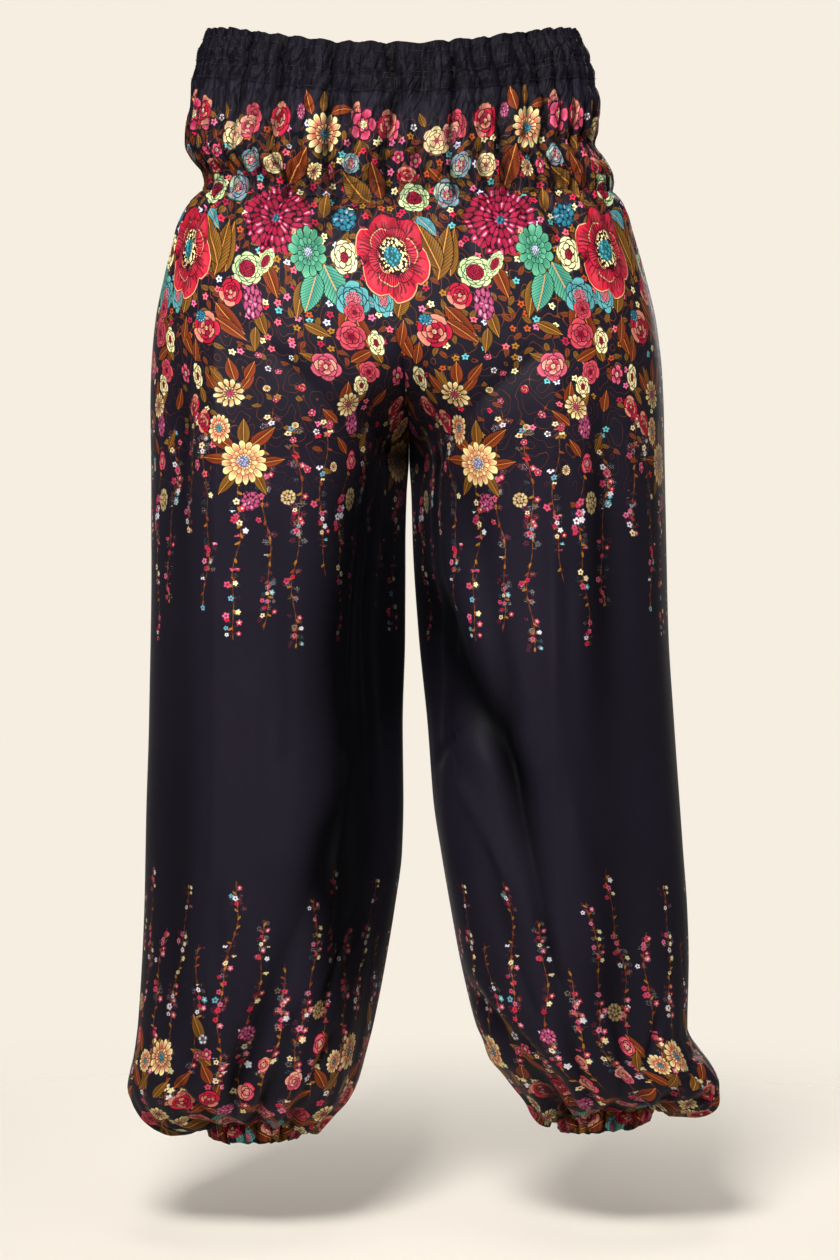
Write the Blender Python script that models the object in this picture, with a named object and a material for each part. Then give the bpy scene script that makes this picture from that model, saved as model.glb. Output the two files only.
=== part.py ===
"""Harem trousers with an elastic waist, a gathered yoke, four leg panels and two ankle casings.

Frame: metres, +Z up. The wearer faces +Y, so the seat faces -Y, and +X is the wearer's right.
The origin is the middle of the waist opening. The tables below are in millimetres.

Each panel is a wall of cloth between an outer surface, worked out from level sections, and an
inner one a wall's thickness further in. A section is a half-loop that runs from the centre seam
or the inseam round to the side seam. Down the crotch it changes from a quarter of the trunk to
half of a leg, so that the centre seam curves under the body and meets the inseam.
"""

from math import ceil, cos, exp, hypot, pi, sin
from typing import NamedTuple

import bmesh
import bpy
from mathutils import Vector

MM = 0.001
SEAM_GAP = 0.3                # between neighbouring pieces
CLOTH_WALL = 1.8
CASING_WALL = 2.6             # two layers of cloth with elastic between them

TRUNK_SQUARENESS = 2.25       # 2 is an ellipse, more is nearer to a rectangle
LEG_SQUARENESS = 2.5

WAIST_DIP_BACK = 20.0         # how far the waist hangs lower at the centre back than at the sides
WAIST_DIP_FRONT = 8.0
DIP_SHARPNESS = 3.0
DIP_ENDS = 340.0              # drop at which the sections are level again

HALF_WAIST_GATHERS = 24       # across the back, and as many across the front
LEG_COLUMNS = 14              # facets across each leg panel
LEG_BAND = 54.0               # tallest facet down a leg
HIP_PLEATS = 4                # soft pleats that each leg panel has below the hip band
HIP_PLEAT_DEPTH = 2.6
HIP_PLEATS_END = 215.0        # drop at which they have faded
ANKLE_GATHER = 2.4            # height of the puckers where a leg meets its casing
ANKLE_GATHER_START = 880.0    # drop at which they begin
UNDERSIDE_CALM = 1.4          # how soon they fade as the cloth turns under
CUFF_GATHERS = 28
CUFF_WIDTH = 80.0
CUFF_DEPTH = 94.0
CUFF_HEIGHT = 20.0
CUFF_CROWN = 1.6              # how far a casing bulges between its edges
CUFF_PUCKER = 1.8


class Girth(NamedTuple):
    """A level section of the trunk and the height of the gathers there."""
    drop: float
    left: float
    right: float
    back: float
    front: float
    centre: float
    gather: float


class LegRow(NamedTuple):
    """A section of one leg panel: reach to the side and to the inseam, depth, and wrap."""
    drop: float
    outer: float
    inner: float
    back: float
    front: float
    wrap: float       # 0 is a quarter of the trunk, 1 is half of a leg
    tilt: float       # fall of the section towards the outer side, per unit of width
    lift: float       # rise of its middle, behind and in front, above its ends
    squareness: float = LEG_SQUARENESS


class SeatRow(NamedTuple):
    """A level section of the seat, from the hip band down to the crotch."""
    drop: float
    left: float
    right: float
    back: float
    front: float
    centre: float
    wrap: float
    squareness: float


class Ring(NamedTuple):
    """A strip round the trunk, between the seams at two drops of its table."""
    name: str
    top: float
    bottom: float
    wall: float
    colour: tuple


class Fold(NamedTuple):
    """A soft fold of one face of the trousers, along a line seen from behind."""
    face: str
    from_x: float
    from_drop: float
    to_x: float
    to_drop: float
    width: float
    height: float     # below 0 is a trough


class Cuff(NamedTuple):
    """Where an ankle casing lies."""
    side: int
    centre: float
    top: float
    tilt: float


NAVY = (0.013, 0.012, 0.022, 1.0)
PRINTED = (0.160, 0.030, 0.045, 1.0)
CLOTH_ROUGHNESS = 0.62

TRUNK = (
    #     drop   left   right  back   front centre gather
    Girth(-19.0, 161.0, 160.5, 105.0, 108.0, 0.0, 2.0),
    Girth(-8.0, 163.5, 163.8, 110.0, 111.0, 0.0, 3.4),
    Girth(2.0, 168.0, 169.5, 113.5, 114.0, 0.0, 3.4),
    Girth(10.0, 168.5, 171.0, 114.0, 115.0, 0.0, 2.4),
    Girth(18.0, 171.0, 174.4, 117.0, 118.0, -0.5, 3.2),
    Girth(26.0, 172.6, 175.0, 117.0, 118.0, -1.0, 2.4),
    Girth(44.0, 174.0, 180.0, 123.0, 122.0, -1.5, 3.6),
    Girth(66.0, 178.4, 179.0, 128.0, 124.5, -2.0, 3.6),
    Girth(80.0, 179.6, 175.5, 129.0, 123.0, -2.5, 3.4),
    Girth(92.0, 174.4, 184.0, 128.0, 120.5, -3.0, 3.0),
    Girth(105.0, 164.5, 191.5, 126.0, 117.5, -3.0, 2.4),
    Girth(113.0, 163.0, 192.5, 125.0, 116.0, -3.0, 2.8),
    Girth(121.0, 164.5, 191.5, 126.5, 117.0, -3.0, 2.2),
)

RINGS = (
    Ring("waist_casing", -19.0, 10.0, CASING_WALL, NAVY),
    Ring("waist_channel", 10.0, 26.0, CASING_WALL, NAVY),
    Ring("hip_yoke", 26.0, 105.0, CLOTH_WALL, PRINTED),
    Ring("hip_band", 105.0, 121.0, CLOTH_WALL, PRINTED),
)

SEAT = (
    #       drop   left   right  back   front  centre wrap  squareness
    SeatRow(121.0, 164.5, 191.5, 126.5, 117.0, -3.0, 0 / 7, 2.25),
    SeatRow(130.0, 174.5, 199.5, 132.5, 121.0, -3.0, 0 / 7, 2.3),
    SeatRow(143.0, 183.0, 206.0, 138.0, 124.0, -2.5, 0 / 7, 2.4),
    SeatRow(166.0, 191.2, 213.0, 144.0, 127.5, -1.0, 0 / 7, 2.5),
    SeatRow(196.0, 198.8, 222.0, 149.0, 130.0, 2.0, 0 / 7, 2.65),
    SeatRow(231.0, 205.8, 230.5, 151.5, 131.0, 6.0, 0 / 7, 2.8),
    SeatRow(251.0, 208.2, 233.4, 152.0, 131.5, 9.0, 1 / 7, 2.8),
    SeatRow(268.0, 209.6, 235.4, 151.6, 131.5, 11.0, 2 / 7, 2.75),
    SeatRow(283.0, 210.4, 236.5, 150.8, 131.2, 12.4, 3 / 7, 2.7),
    SeatRow(297.0, 210.8, 237.2, 149.8, 130.8, 13.6, 4 / 7, 2.65),
    SeatRow(311.0, 211.0, 237.8, 148.4, 130.2, 14.4, 5 / 7, 2.6),
    SeatRow(327.0, 211.0, 238.2, 146.6, 129.4, 14.9, 6 / 7, 2.55),
    SeatRow(350.0, 210.8, 238.7, 143.8, 127.8, 15.0, 7 / 7, 2.5),
)


LEGS = {
    -1: (
        #      drop   outer  inner  back   front  wrap tilt lift
        LegRow(386.0, 210.6, -12.6, 139.8, 125.8, 1.0, 0.0, 0.0),
        LegRow(430.0, 210.6, -11.4, 135.0, 124.0, 1.0, 0.0, 0.0),
        LegRow(509.0, 211.8, -11.2, 128.0, 121.0, 1.0, 0.0, 0.0),
        LegRow(588.0, 213.8, -9.0, 122.0, 118.0, 1.0, 0.0, 0.0),
        LegRow(654.0, 215.8, -9.6, 118.5, 117.0, 1.0, 0.0, 0.0),
        LegRow(700.0, 217.0, -8.4, 117.0, 116.0, 1.0, 0.0, 0.0),
        LegRow(746.0, 218.2, -2.6, 115.5, 115.0, 1.0, 0.0, 0.0),
        LegRow(799.0, 220.6, 6.2, 114.0, 114.0, 1.0, 0.0, 0.0),
        LegRow(852.0, 224.0, 16.7, 110.0, 113.0, 1.0, 0.0, 0.0),
        LegRow(878.0, 227.6, 23.4, 104.5, 111.0, 1.0, 0.0, 0.0),
        LegRow(892.0, 231.0, 27.0, 98.5, 107.5, 1.0, 0.0, 0.0),
        LegRow(905.0, 233.2, 31.2, 91.0, 102.0, 1.0, 0.0, 1.0),
        LegRow(918.0, 229.5, 38.0, 82.0, 94.0, 1.0, 0.0, 4.0),
        LegRow(931.0, 221.5, 51.0, 72.0, 84.0, 1.0, 0.0, 9.0),
        LegRow(941.0, 210.0, 61.0, 64.0, 74.0, 1.0, 0.0, 15.0),
        LegRow(946.5, 196.0, 66.5, 59.0, 67.0, 1.0, 0.0, 17.5),
        LegRow(944.0, 178.0, 73.0, 55.5, 61.0, 1.0, 0.0, 13.0),
        LegRow(932.0, 163.5, 78.5, 49.0, 49.0, 1.0, 0.0, 0.0),
    ),
    +1: (
        LegRow(386.0, 239.6, 17.2, 139.8, 125.8, 1.0, 0.0, 0.0),
        LegRow(430.0, 240.6, 18.5, 135.0, 124.0, 1.0, 0.0, 0.0),
        LegRow(509.0, 242.8, 23.8, 128.0, 121.0, 1.0, 0.0, 0.0),
        LegRow(588.0, 248.2, 31.7, 122.0, 118.0, 1.0, 0.0, 0.0),
        LegRow(654.0, 252.9, 36.8, 118.5, 117.0, 1.0, 0.0, 0.0),
        LegRow(700.0, 256.2, 43.8, 117.0, 116.0, 1.0, 0.0, 0.0),
        LegRow(746.0, 259.6, 51.6, 115.5, 115.0, 1.0, 0.0, 0.0),
        LegRow(799.0, 261.4, 61.4, 114.0, 114.0, 1.0, 0.0, 0.0),
        LegRow(852.0, 260.0, 74.6, 110.0, 113.0, 1.0, 0.0, 0.0),
        LegRow(865.0, 264.4, 80.4, 107.0, 112.0, 1.0, 0.0, 0.0),
        LegRow(878.0, 273.5, 84.6, 102.5, 110.0, 1.0, 0.0, 0.0),
        LegRow(891.5, 283.0, 96.4, 95.5, 106.0, 1.0, -0.005, 0.0),
        LegRow(905.5, 289.0, 107.0, 87.0, 99.0, 1.0, -0.006, 2.0),
        LegRow(919.2, 288.0, 118.0, 78.0, 90.0, 1.0, -0.012, 6.0),
        LegRow(929.0, 281.6, 123.6, 68.5, 78.0, 1.0, -0.032, 13.0),
        LegRow(935.2, 268.0, 131.0, 61.0, 68.0, 1.0, -0.073, 17.0),
        LegRow(936.2, 248.0, 138.0, 56.0, 61.0, 1.0, -0.117, 15.0),
        LegRow(922.0, 230.5, 145.5, 49.0, 49.0, 1.0, -0.130, 0.0),
    ),
}

CUFFS = (
    Cuff(-1, 121.0, 932.0, 0.0),
    Cuff(+1, 188.0, 922.0, -0.13),
)

FOLDS = (
    #    face    from x  drop   to x    drop   width  height
    Fold("back", -17.0, 455.0, -62.0, 720.0, 30.0, -9.0),
    Fold("back", -62.0, 720.0, -128.0, 850.0, 28.0, -8.0),
    Fold("back", 2.0, 690.0, -62.0, 845.0, 22.0, 6.0),
    Fold("back", -152.0, 300.0, -158.0, 700.0, 26.0, 5.0),
    Fold("back", 34.0, 500.0, 104.0, 600.0, 20.0, -8.0),
    Fold("back", 104.0, 600.0, 136.0, 745.0, 24.0, -8.0),
    Fold("back", 66.0, 400.0, 100.0, 560.0, 24.0, -6.0),
    Fold("back", 188.0, 300.0, 192.0, 720.0, 28.0, 5.0),
    Fold("back", 78.0, 830.0, 142.0, 925.0, 15.0, -6.0),
    Fold("back", 232.0, 930.0, 284.0, 905.0, 11.0, -6.0),
    Fold("back", -62.0, 290.0, 4.0, 345.0, 26.0, -4.5),
    Fold("back", 88.0, 290.0, 24.0, 345.0, 26.0, -4.5),
    Fold("front", -20.0, 430.0, -88.0, 720.0, 30.0, -9.0),
    Fold("front", -88.0, 720.0, -150.0, 860.0, 28.0, -7.0),
    Fold("front", -150.0, 330.0, -156.0, 690.0, 26.0, 5.0),
    Fold("front", 40.0, 440.0, 112.0, 640.0, 28.0, -9.0),
    Fold("front", 112.0, 640.0, 160.0, 800.0, 26.0, -8.0),
    Fold("front", 190.0, 330.0, 198.0, 690.0, 28.0, 5.0),
    Fold("front", -70.0, 280.0, 4.0, 345.0, 28.0, -5.5),
    Fold("front", 96.0, 280.0, 24.0, 345.0, 28.0, -5.5),
)


def clear_scene():
    """Remove every object, so that the file holds only this model."""
    for item in list(bpy.data.objects):
        bpy.data.objects.remove(item, do_unlink=True)


def cloth_material(name, colour):
    """A matt cloth finish."""
    material = bpy.data.materials.new(name)
    material.use_nodes = True
    shader = material.node_tree.nodes["Principled BSDF"]
    shader.inputs["Base Color"].default_value = colour
    shader.inputs["Roughness"].default_value = CLOTH_ROUGHNESS
    shader.inputs["Metallic"].default_value = 0.0
    return material


def mix(low, high, share):
    """A value, or a row of values, part of the way from low to high."""
    if isinstance(low, tuple):
        return type(low)(*(mix(a, b, share) for a, b in zip(low, high)))
    return low + (high - low) * share


def smooth(share):
    """An ease from 0 to 1."""
    share = min(1.0, max(0.0, share))
    return share * share * (3.0 - 2.0 * share)


def at_drop(rows, drop):
    """The section at a drop, between the two rows around it."""
    for upper, lower in zip(rows, rows[1:]):
        if drop <= lower.drop:
            return mix(upper, lower, (drop - upper.drop) / (lower.drop - upper.drop))
    return rows[-1]


def rounded(value, squareness):
    """A sine or cosine raised to the power that squares a loop's corners, with its sign kept."""
    return abs(value) ** (2.0 / squareness) * (1.0 if value >= 0.0 else -1.0)


def waist_dip(drop, turn, is_back):
    """How far a point of the trunk hangs below its drop: most at the centre, none at the sides."""
    deepest = WAIST_DIP_BACK if is_back else WAIST_DIP_FRONT
    fade = min(1.0, max(0.0, 1.0 - drop / DIP_ENDS))
    return deepest * fade * max(0.0, cos(turn)) ** DIP_SHARPNESS


def unevenness(index):
    """How high one gather stands beside its neighbours, from 0.55 to 1."""
    return 0.55 + 0.45 * abs(sin(2.4 * index + 0.7))


def gather_shift(index):
    """How far one gather is out of its even place, in columns."""
    return 0.22 * sin(1.9 * index + 0.4)


def trunk_point(girth, column, columns, is_back):
    """A point of a ring: column 0 is one side seam and the last column is the other."""
    shift = gather_shift(column) if 0 < column < columns else 0.0
    turn = ((column + shift) / columns - 0.5) * pi
    ridge = 1.0 if column % 2 else -1.0
    lift = girth.gather * ridge * unevenness(column)
    across = rounded(sin(turn), TRUNK_SQUARENESS)
    reach = (girth.right if turn > 0.0 else girth.left) + lift
    depth = (girth.back if is_back else girth.front) + lift
    x = girth.centre * cos(turn) + reach * across
    y = depth * rounded(cos(turn), TRUNK_SQUARENESS)
    y = max(y, SEAM_GAP / 2)
    z = -girth.drop - waist_dip(girth.drop, turn, is_back)
    return Vector((x, -y if is_back else y, z))


def fold_height(face, x, drop):
    """The sum of the soft folds at a point of one face."""
    total = 0.0
    for fold in FOLDS:
        if fold.face != face:
            continue
        run_x = fold.to_x - fold.from_x
        run_drop = fold.to_drop - fold.from_drop
        length = hypot(run_x, run_drop)
        along = ((x - fold.from_x) * run_x + (drop - fold.from_drop) * run_drop) / length ** 2
        beyond = max(0.0, -along, along - 1.0) * length
        aside = ((x - fold.from_x) * run_drop - (drop - fold.from_drop) * run_x) / length
        total += fold.height * exp(-(aside / fold.width) ** 2 - (beyond / (2 * fold.width)) ** 2)
    return total


def leg_point(row, side, is_back, share):
    """A point of a leg panel before its folds: share 0 is the centre or inseam, 1 the side.

    The section is deepest at a peak. Outside the peak it is a quarter-loop to the side seam, and
    inside it as much of one as the wrap says, so that its end swings forward under the crotch.
    """
    depth = row.back if is_back else row.front
    peak_x = row.inner + (row.outer - row.inner) * row.wrap / 2
    peak_share = row.wrap / 2
    if share >= peak_share:
        squareness = row.squareness
        turn = (share - peak_share) / (1.0 - peak_share) * pi / 2
        x = peak_x + (row.outer - peak_x) * rounded(sin(turn), squareness)
    else:
        squareness = LEG_SQUARENESS
        swing = row.wrap * pi / 2
        turn = (1.0 - share / peak_share) * swing
        x = peak_x - (peak_x - row.inner) * rounded(sin(turn), squareness) / rounded(sin(swing), squareness)
    y = max(SEAM_GAP / 2, depth * rounded(cos(turn), squareness))
    dip = waist_dip(row.drop, share * pi / 2, is_back)
    fall = row.tilt * (x - cuff_of(side).centre)
    rise = row.lift * sin(share * pi) ** 2
    return Vector((side * x, -y if is_back else y, -row.drop - dip - fall + rise))


def cuff_of(side):
    """The ankle casing of one side."""
    return next(cuff for cuff in CUFFS if cuff.side == side)


def leg_rows(side):
    """Every section of one side's panels, from the hip band's lower edge to the cuff's top."""
    seat = [LegRow(row.drop, row.right if side > 0 else row.left, side * row.centre,
                   row.back, row.front, row.wrap, 0.0, 0.0, row.squareness) for row in SEAT]
    first = seat[0]._replace(drop=seat[0].drop + SEAM_GAP)
    last = LEGS[side][-1]._replace(drop=LEGS[side][-1].drop - SEAM_GAP)
    rows = [first, *seat[1:], *LEGS[side][:-1], last]
    dense = []
    for upper, lower in zip(rows, rows[1:]):
        steps = max(1, ceil((lower.drop - upper.drop) / LEG_BAND))
        dense += [mix(upper, lower, step / steps) for step in range(steps)]
    return dense + [rows[-1]]


def grid_normals(grid, outward, closed=False):
    """The outward unit normal at every point of a grid; outward is 1 or -1."""
    rows, columns = len(grid), len(grid[0])
    result = []
    for i in range(rows):
        line = []
        for j in range(columns):
            down = grid[min(rows - 1, i + 1)][j] - grid[max(0, i - 1)][j]
            if closed:
                across = grid[i][(j + 1) % columns] - grid[i][j - 1]
            else:
                across = grid[i][min(columns - 1, j + 1)] - grid[i][max(0, j - 1)]
            line.append(down.cross(across).normalized() * outward)
        result.append(line)
    return result


def level_offset(normal):
    """The same direction with no rise, for an edge that a neighbour's edge faces."""
    return Vector((normal.x, normal.y, 0.0)).normalized()


def build_wall(name, outer, inner, outward, material, closed=False):
    """A closed body between two grids of the same size, joined round their edges."""
    rows, columns = len(outer), len(outer[0])
    body = bmesh.new()
    skins = [[[body.verts.new(point * MM) for point in line] for line in grid]
             for grid in (outer, inner)]

    def add_face(corners):
        body.faces.new(corners if outward > 0 else corners[::-1])

    spans = columns if closed else columns - 1
    for i in range(rows - 1):
        for j in range(spans):
            right = (j + 1) % columns
            for skin, flip in zip(skins, (False, True)):
                quad = [skin[i][j], skin[i + 1][j], skin[i + 1][right], skin[i][right]]
                add_face(quad[::-1] if flip else quad)
    front, back = skins
    for j in range(spans):
        right = (j + 1) % columns
        add_face([front[0][j], front[0][right], back[0][right], back[0][j]])
        add_face([front[-1][right], front[-1][j], back[-1][j], back[-1][right]])
    if not closed:
        for i in range(rows - 1):
            add_face([front[i + 1][0], front[i][0], back[i][0], back[i + 1][0]])
            add_face([front[i][-1], front[i + 1][-1], back[i + 1][-1], back[i][-1]])
    bmesh.ops.triangulate(body, faces=body.faces, quad_method="SHORT_EDGE")
    mesh = bpy.data.meshes.new(name)
    body.to_mesh(mesh)
    body.free()
    mesh.shade_smooth()
    mesh.materials.append(material)
    piece = bpy.data.objects.new(name, mesh)
    bpy.context.scene.collection.objects.link(piece)
    return piece


def build_ring_half(ring, is_back):
    """Half of a strip round the trunk, from side seam to side seam."""
    columns = 2 * HALF_WAIST_GATHERS
    girths = [girth for girth in TRUNK if ring.top <= girth.drop <= ring.bottom]
    girths[0] = girths[0]._replace(drop=ring.top + SEAM_GAP / 2)
    girths[-1] = girths[-1]._replace(drop=ring.bottom - SEAM_GAP / 2)
    outer = [[trunk_point(girth, column, columns, is_back) for column in range(columns + 1)]
             for girth in girths]
    outward = 1 if is_back else -1
    inner = []
    for line, line_normals in zip(outer, grid_normals(outer, outward)):
        moved = [point - level_offset(normal) * ring.wall for point, normal in zip(line, line_normals)]
        for point in moved:
            point.y = min(point.y, -SEAM_GAP / 2) if is_back else max(point.y, SEAM_GAP / 2)
        inner.append(moved)
    name = f"{ring.name}_{'back' if is_back else 'front'}"
    build_wall(name, outer, inner, outward, cloth_material(name, ring.colour))


def keep_clear(point, side, is_back):
    """Move a point of a leg panel back to its own side of the seams."""
    if is_back:
        point.y = min(point.y, -SEAM_GAP / 2)
    else:
        point.y = max(point.y, SEAM_GAP / 2)
    return point


def panel_relief(row, share, face, point):
    """How far folds, pleats and ankle puckers lift a point of a leg panel."""
    edge = smooth(share / 0.12) * smooth((1.0 - share) / 0.12)
    relief = fold_height(face, point.x, row.drop) * edge
    pleat_fade = 1.0 - smooth((row.drop - TRUNK[-1].drop) / (HIP_PLEATS_END - TRUNK[-1].drop))
    relief += HIP_PLEAT_DEPTH * pleat_fade * sin(2 * pi * HIP_PLEATS * share) * edge
    return relief


def build_leg_panel(side, is_back):
    """One leg panel, from the hip band to the ankle casing."""
    face = "back" if is_back else "front"
    outward = side if is_back else -side
    rows = leg_rows(side)
    shares = [column / LEG_COLUMNS for column in range(LEG_COLUMNS + 1)]
    plain = [[leg_point(row, side, is_back, share) for share in shares] for row in rows]
    outer = []
    for row, line, line_normals in zip(rows, plain, grid_normals(plain, outward)):
        pucker = ANKLE_GATHER * smooth((row.drop - ANKLE_GATHER_START) / 45.0)
        moved = []
        for column, share in enumerate(shares):
            normal = line_normals[column]
            lift = panel_relief(row, share, face, line[column])
            if 0 < column < LEG_COLUMNS:
                upright = max(0.0, 1.0 - UNDERSIDE_CALM * abs(normal.z))
                lift += pucker * upright * (1.0 if column % 2 else -1.0) * unevenness(column)
            moved.append(line[column] + normal * lift)
        outer.append(moved)
    for line in (outer[0], outer[-1]):
        reference = plain[0] if line is outer[0] else plain[-1]
        for column, point in enumerate(line):
            line[column] = Vector((point.x, point.y, reference[column].z))
    inner = []
    for index, (line, line_normals) in enumerate(zip(outer, grid_normals(outer, outward))):
        level = index == 0
        inner.append([point - (level_offset(normal) if level else normal) * CLOTH_WALL
                      for point, normal in zip(line, line_normals)])
    for grid in (outer, inner):
        for row, line in zip(rows, grid):
            plane = at_drop(SEAT, row.drop).centre
            for column, point in enumerate(line):
                line[column] = keep_clear(point, side, is_back)
                limit = plane + side * SEAM_GAP / 2
                line[column].x = max(point.x, limit) if side > 0 else min(point.x, limit)
    name = f"leg_{face}_{'right' if side > 0 else 'left'}"
    build_wall(name, outer, inner, outward, cloth_material(name, NAVY))


def build_cuff(cuff):
    """An ankle casing: a gathered ring whose wall bulges between its edges."""
    columns = 2 * CUFF_GATHERS
    outer = []
    for band in range(3):
        share = band / 2
        crown = CUFF_CROWN * sin(pi * share)
        line = []
        for column in range(columns):
            turn = 2 * pi * column / columns
            lift = crown + CUFF_PUCKER * (1.0 if column % 2 else -1.0) * unevenness(column)
            x = cuff.centre + (CUFF_WIDTH / 2 + lift) * cos(turn)
            y = (CUFF_DEPTH / 2 + lift) * sin(turn)
            fall = cuff.tilt * (x - cuff.centre)
            line.append(Vector((cuff.side * x, y, -cuff.top - share * CUFF_HEIGHT - fall)))
        outer.append(line)
    outward = cuff.side
    inner = [[point - level_offset(normal) * CASING_WALL for point, normal in zip(line, line_normals)]
             for line, line_normals in zip(outer, grid_normals(outer, outward, closed=True))]
    name = f"cuff_{'right' if cuff.side > 0 else 'left'}"
    build_wall(name, outer, inner, outward, cloth_material(name, NAVY), closed=True)


def build_trousers():
    """Every piece of the garment."""
    clear_scene()
    for ring in RINGS:
        for is_back in (True, False):
            build_ring_half(ring, is_back)
    for side in (-1, +1):
        for is_back in (True, False):
            build_leg_panel(side, is_back)
    for cuff in CUFFS:
        build_cuff(cuff)


build_trousers()
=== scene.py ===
"""Looks of a pair of worn harem trousers in printed viscose, built round their solids.

Each cut piece is a thin shell of cloth on the form of its own solid: the gathers at the elastic,
the large creases of the legs and the puckers at the ankles are placed. The print is drawn
by shader nodes from the place of each motif on the cloth. Lengths in the tables are millimetres.
The origin is the middle of the waist opening, the seat faces -Y, and +X is the wearer's right.
"""

from __future__ import annotations

import logging
from dataclasses import dataclass, field
from enum import Enum
from math import cos, pi, radians, sin, tau
from typing import Callable, NamedTuple, Sequence

import bpy
import numpy as np
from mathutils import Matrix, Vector

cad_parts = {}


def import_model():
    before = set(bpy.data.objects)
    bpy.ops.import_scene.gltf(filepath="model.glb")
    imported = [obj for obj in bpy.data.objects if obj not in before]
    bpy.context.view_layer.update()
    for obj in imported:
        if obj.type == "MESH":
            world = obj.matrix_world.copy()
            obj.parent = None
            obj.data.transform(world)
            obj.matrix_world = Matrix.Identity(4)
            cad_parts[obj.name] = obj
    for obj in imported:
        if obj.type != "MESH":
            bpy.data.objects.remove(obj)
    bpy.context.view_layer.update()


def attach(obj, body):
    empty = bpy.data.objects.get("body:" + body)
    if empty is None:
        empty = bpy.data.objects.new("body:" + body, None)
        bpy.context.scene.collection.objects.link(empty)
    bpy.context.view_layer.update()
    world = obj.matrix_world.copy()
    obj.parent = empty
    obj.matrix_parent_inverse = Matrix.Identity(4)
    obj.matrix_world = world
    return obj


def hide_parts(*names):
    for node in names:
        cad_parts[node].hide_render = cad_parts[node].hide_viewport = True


log = logging.getLogger("trousers")
Array = np.ndarray

MM = 0.001
SEAM_GAP = 0.12               # between neighbouring pieces
FLOOR_DROP = 1041.0           # from the waist opening down to the floor
CASING_TOP, CHANNEL_TOP, YOKE_TOP, BAND_TOP, LEG_TOP = -19.0, 10.0, 26.0, 105.0, 121.0
SEAM_ROWS = (-12.0, CHANNEL_TOP, YOKE_TOP, BAND_TOP, LEG_TOP)      # drops of the rows sewn down


class Side(Enum):
    """A side of the wearer: its value is the sign of X there."""

    LEFT = -1
    RIGHT = 1


class Face(Enum):
    """A half of the garment: its value is the sign of Y there."""

    BACK = -1
    FRONT = 1


class Girth(NamedTuple):
    """A level section of the trunk and the height of its gathers."""

    drop: float
    left: float
    right: float
    back: float
    front: float
    centre: float
    gather: float


class Section(NamedTuple):
    """A section of a leg panel, from the centre seam or the inseam round to the side seam."""

    drop: float
    outer: float
    inner: float
    back: float
    front: float
    lift: float = 0.0         # rise of its middle above its ends
    tilt: float = 0.0         # fall towards the outer side, per unit of width
    wrap: float = 1.0         # 0 is a quarter of the trunk, 1 is half of a leg
    squareness: float = 2.5


class Seat(NamedTuple):
    """A level section of the seat, the same for both sides but for its reach."""

    drop: float
    left: float
    right: float
    back: float
    front: float
    centre: float
    wrap: float
    squareness: float


class Crease(NamedTuple):
    """A fold of one face along a bowed line seen from behind; a height below 0 is a trough."""

    face: Face
    from_x: float
    from_drop: float
    to_x: float
    to_drop: float
    width: float
    height: float
    bow: float = 0.0
    crisp: float = 0.0        # 0 is rounded, 1 has a sharp edge


TRUNK = tuple(Girth(*row) for row in (
    # drop, left, right, back, front, centre, gather
    (-19, 161, 160.5, 105, 108, 0, 2),
    (-8, 163.5, 163.8, 110, 111, 0, 3.8),
    (2, 168, 169.5, 113.5, 114, 0, 3.8),
    (10, 168.5, 171, 114, 115, 0, 3.6),
    (18, 171, 174.4, 117, 118, -0.5, 3.7),
    (26, 172.6, 175, 117, 118, -1, 3.6),
    (44, 174, 180, 123, 122, -1.5, 3.6),
    (66, 178.4, 179, 128, 124.5, -2, 3.6),
    (80, 179.6, 175.5, 129, 123, -2.5, 3.4),
    (92, 174.4, 184, 128, 120.5, -3, 3),
    (105, 164.5, 191.5, 126, 117.5, -3, 2.4),
    (113, 163, 192.5, 125, 116, -3, 2.8),
    (121, 164.5, 191.5, 126.5, 117, -3, 2.2),
))

SEAT = tuple(Seat(*row) for row in (
    # drop, left, right, back, front, centre, wrap, squareness
    (121, 164.5, 191.5, 126.5, 117, -3, 0, 2.25),
    (130, 174.5, 199.5, 132.5, 121, -3, 0, 2.3),
    (143, 183, 206, 138, 124, -2.5, 0, 2.4),
    (166, 191.2, 213, 144, 127.5, -1, 0, 2.5),
    (196, 198.8, 222, 149, 130, 2, 0, 2.65),
    (231, 205.8, 230.5, 151.5, 131, 6, 0, 2.8),
    (251, 208.2, 233.4, 152, 131.5, 9, 1 / 7, 2.8),
    (268, 209.6, 235.4, 151.6, 131.5, 11, 2 / 7, 2.75),
    (283, 210.4, 236.5, 150.8, 131.2, 12.4, 3 / 7, 2.7),
    (297, 210.8, 237.2, 149.8, 130.8, 13.6, 4 / 7, 2.65),
    (311, 211, 237.8, 148.4, 130.2, 14.4, 5 / 7, 2.6),
    (327, 211, 238.2, 146.6, 129.4, 14.9, 6 / 7, 2.55),
    (350, 210.8, 238.7, 143.8, 127.8, 15, 1, 2.5),
))

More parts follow.
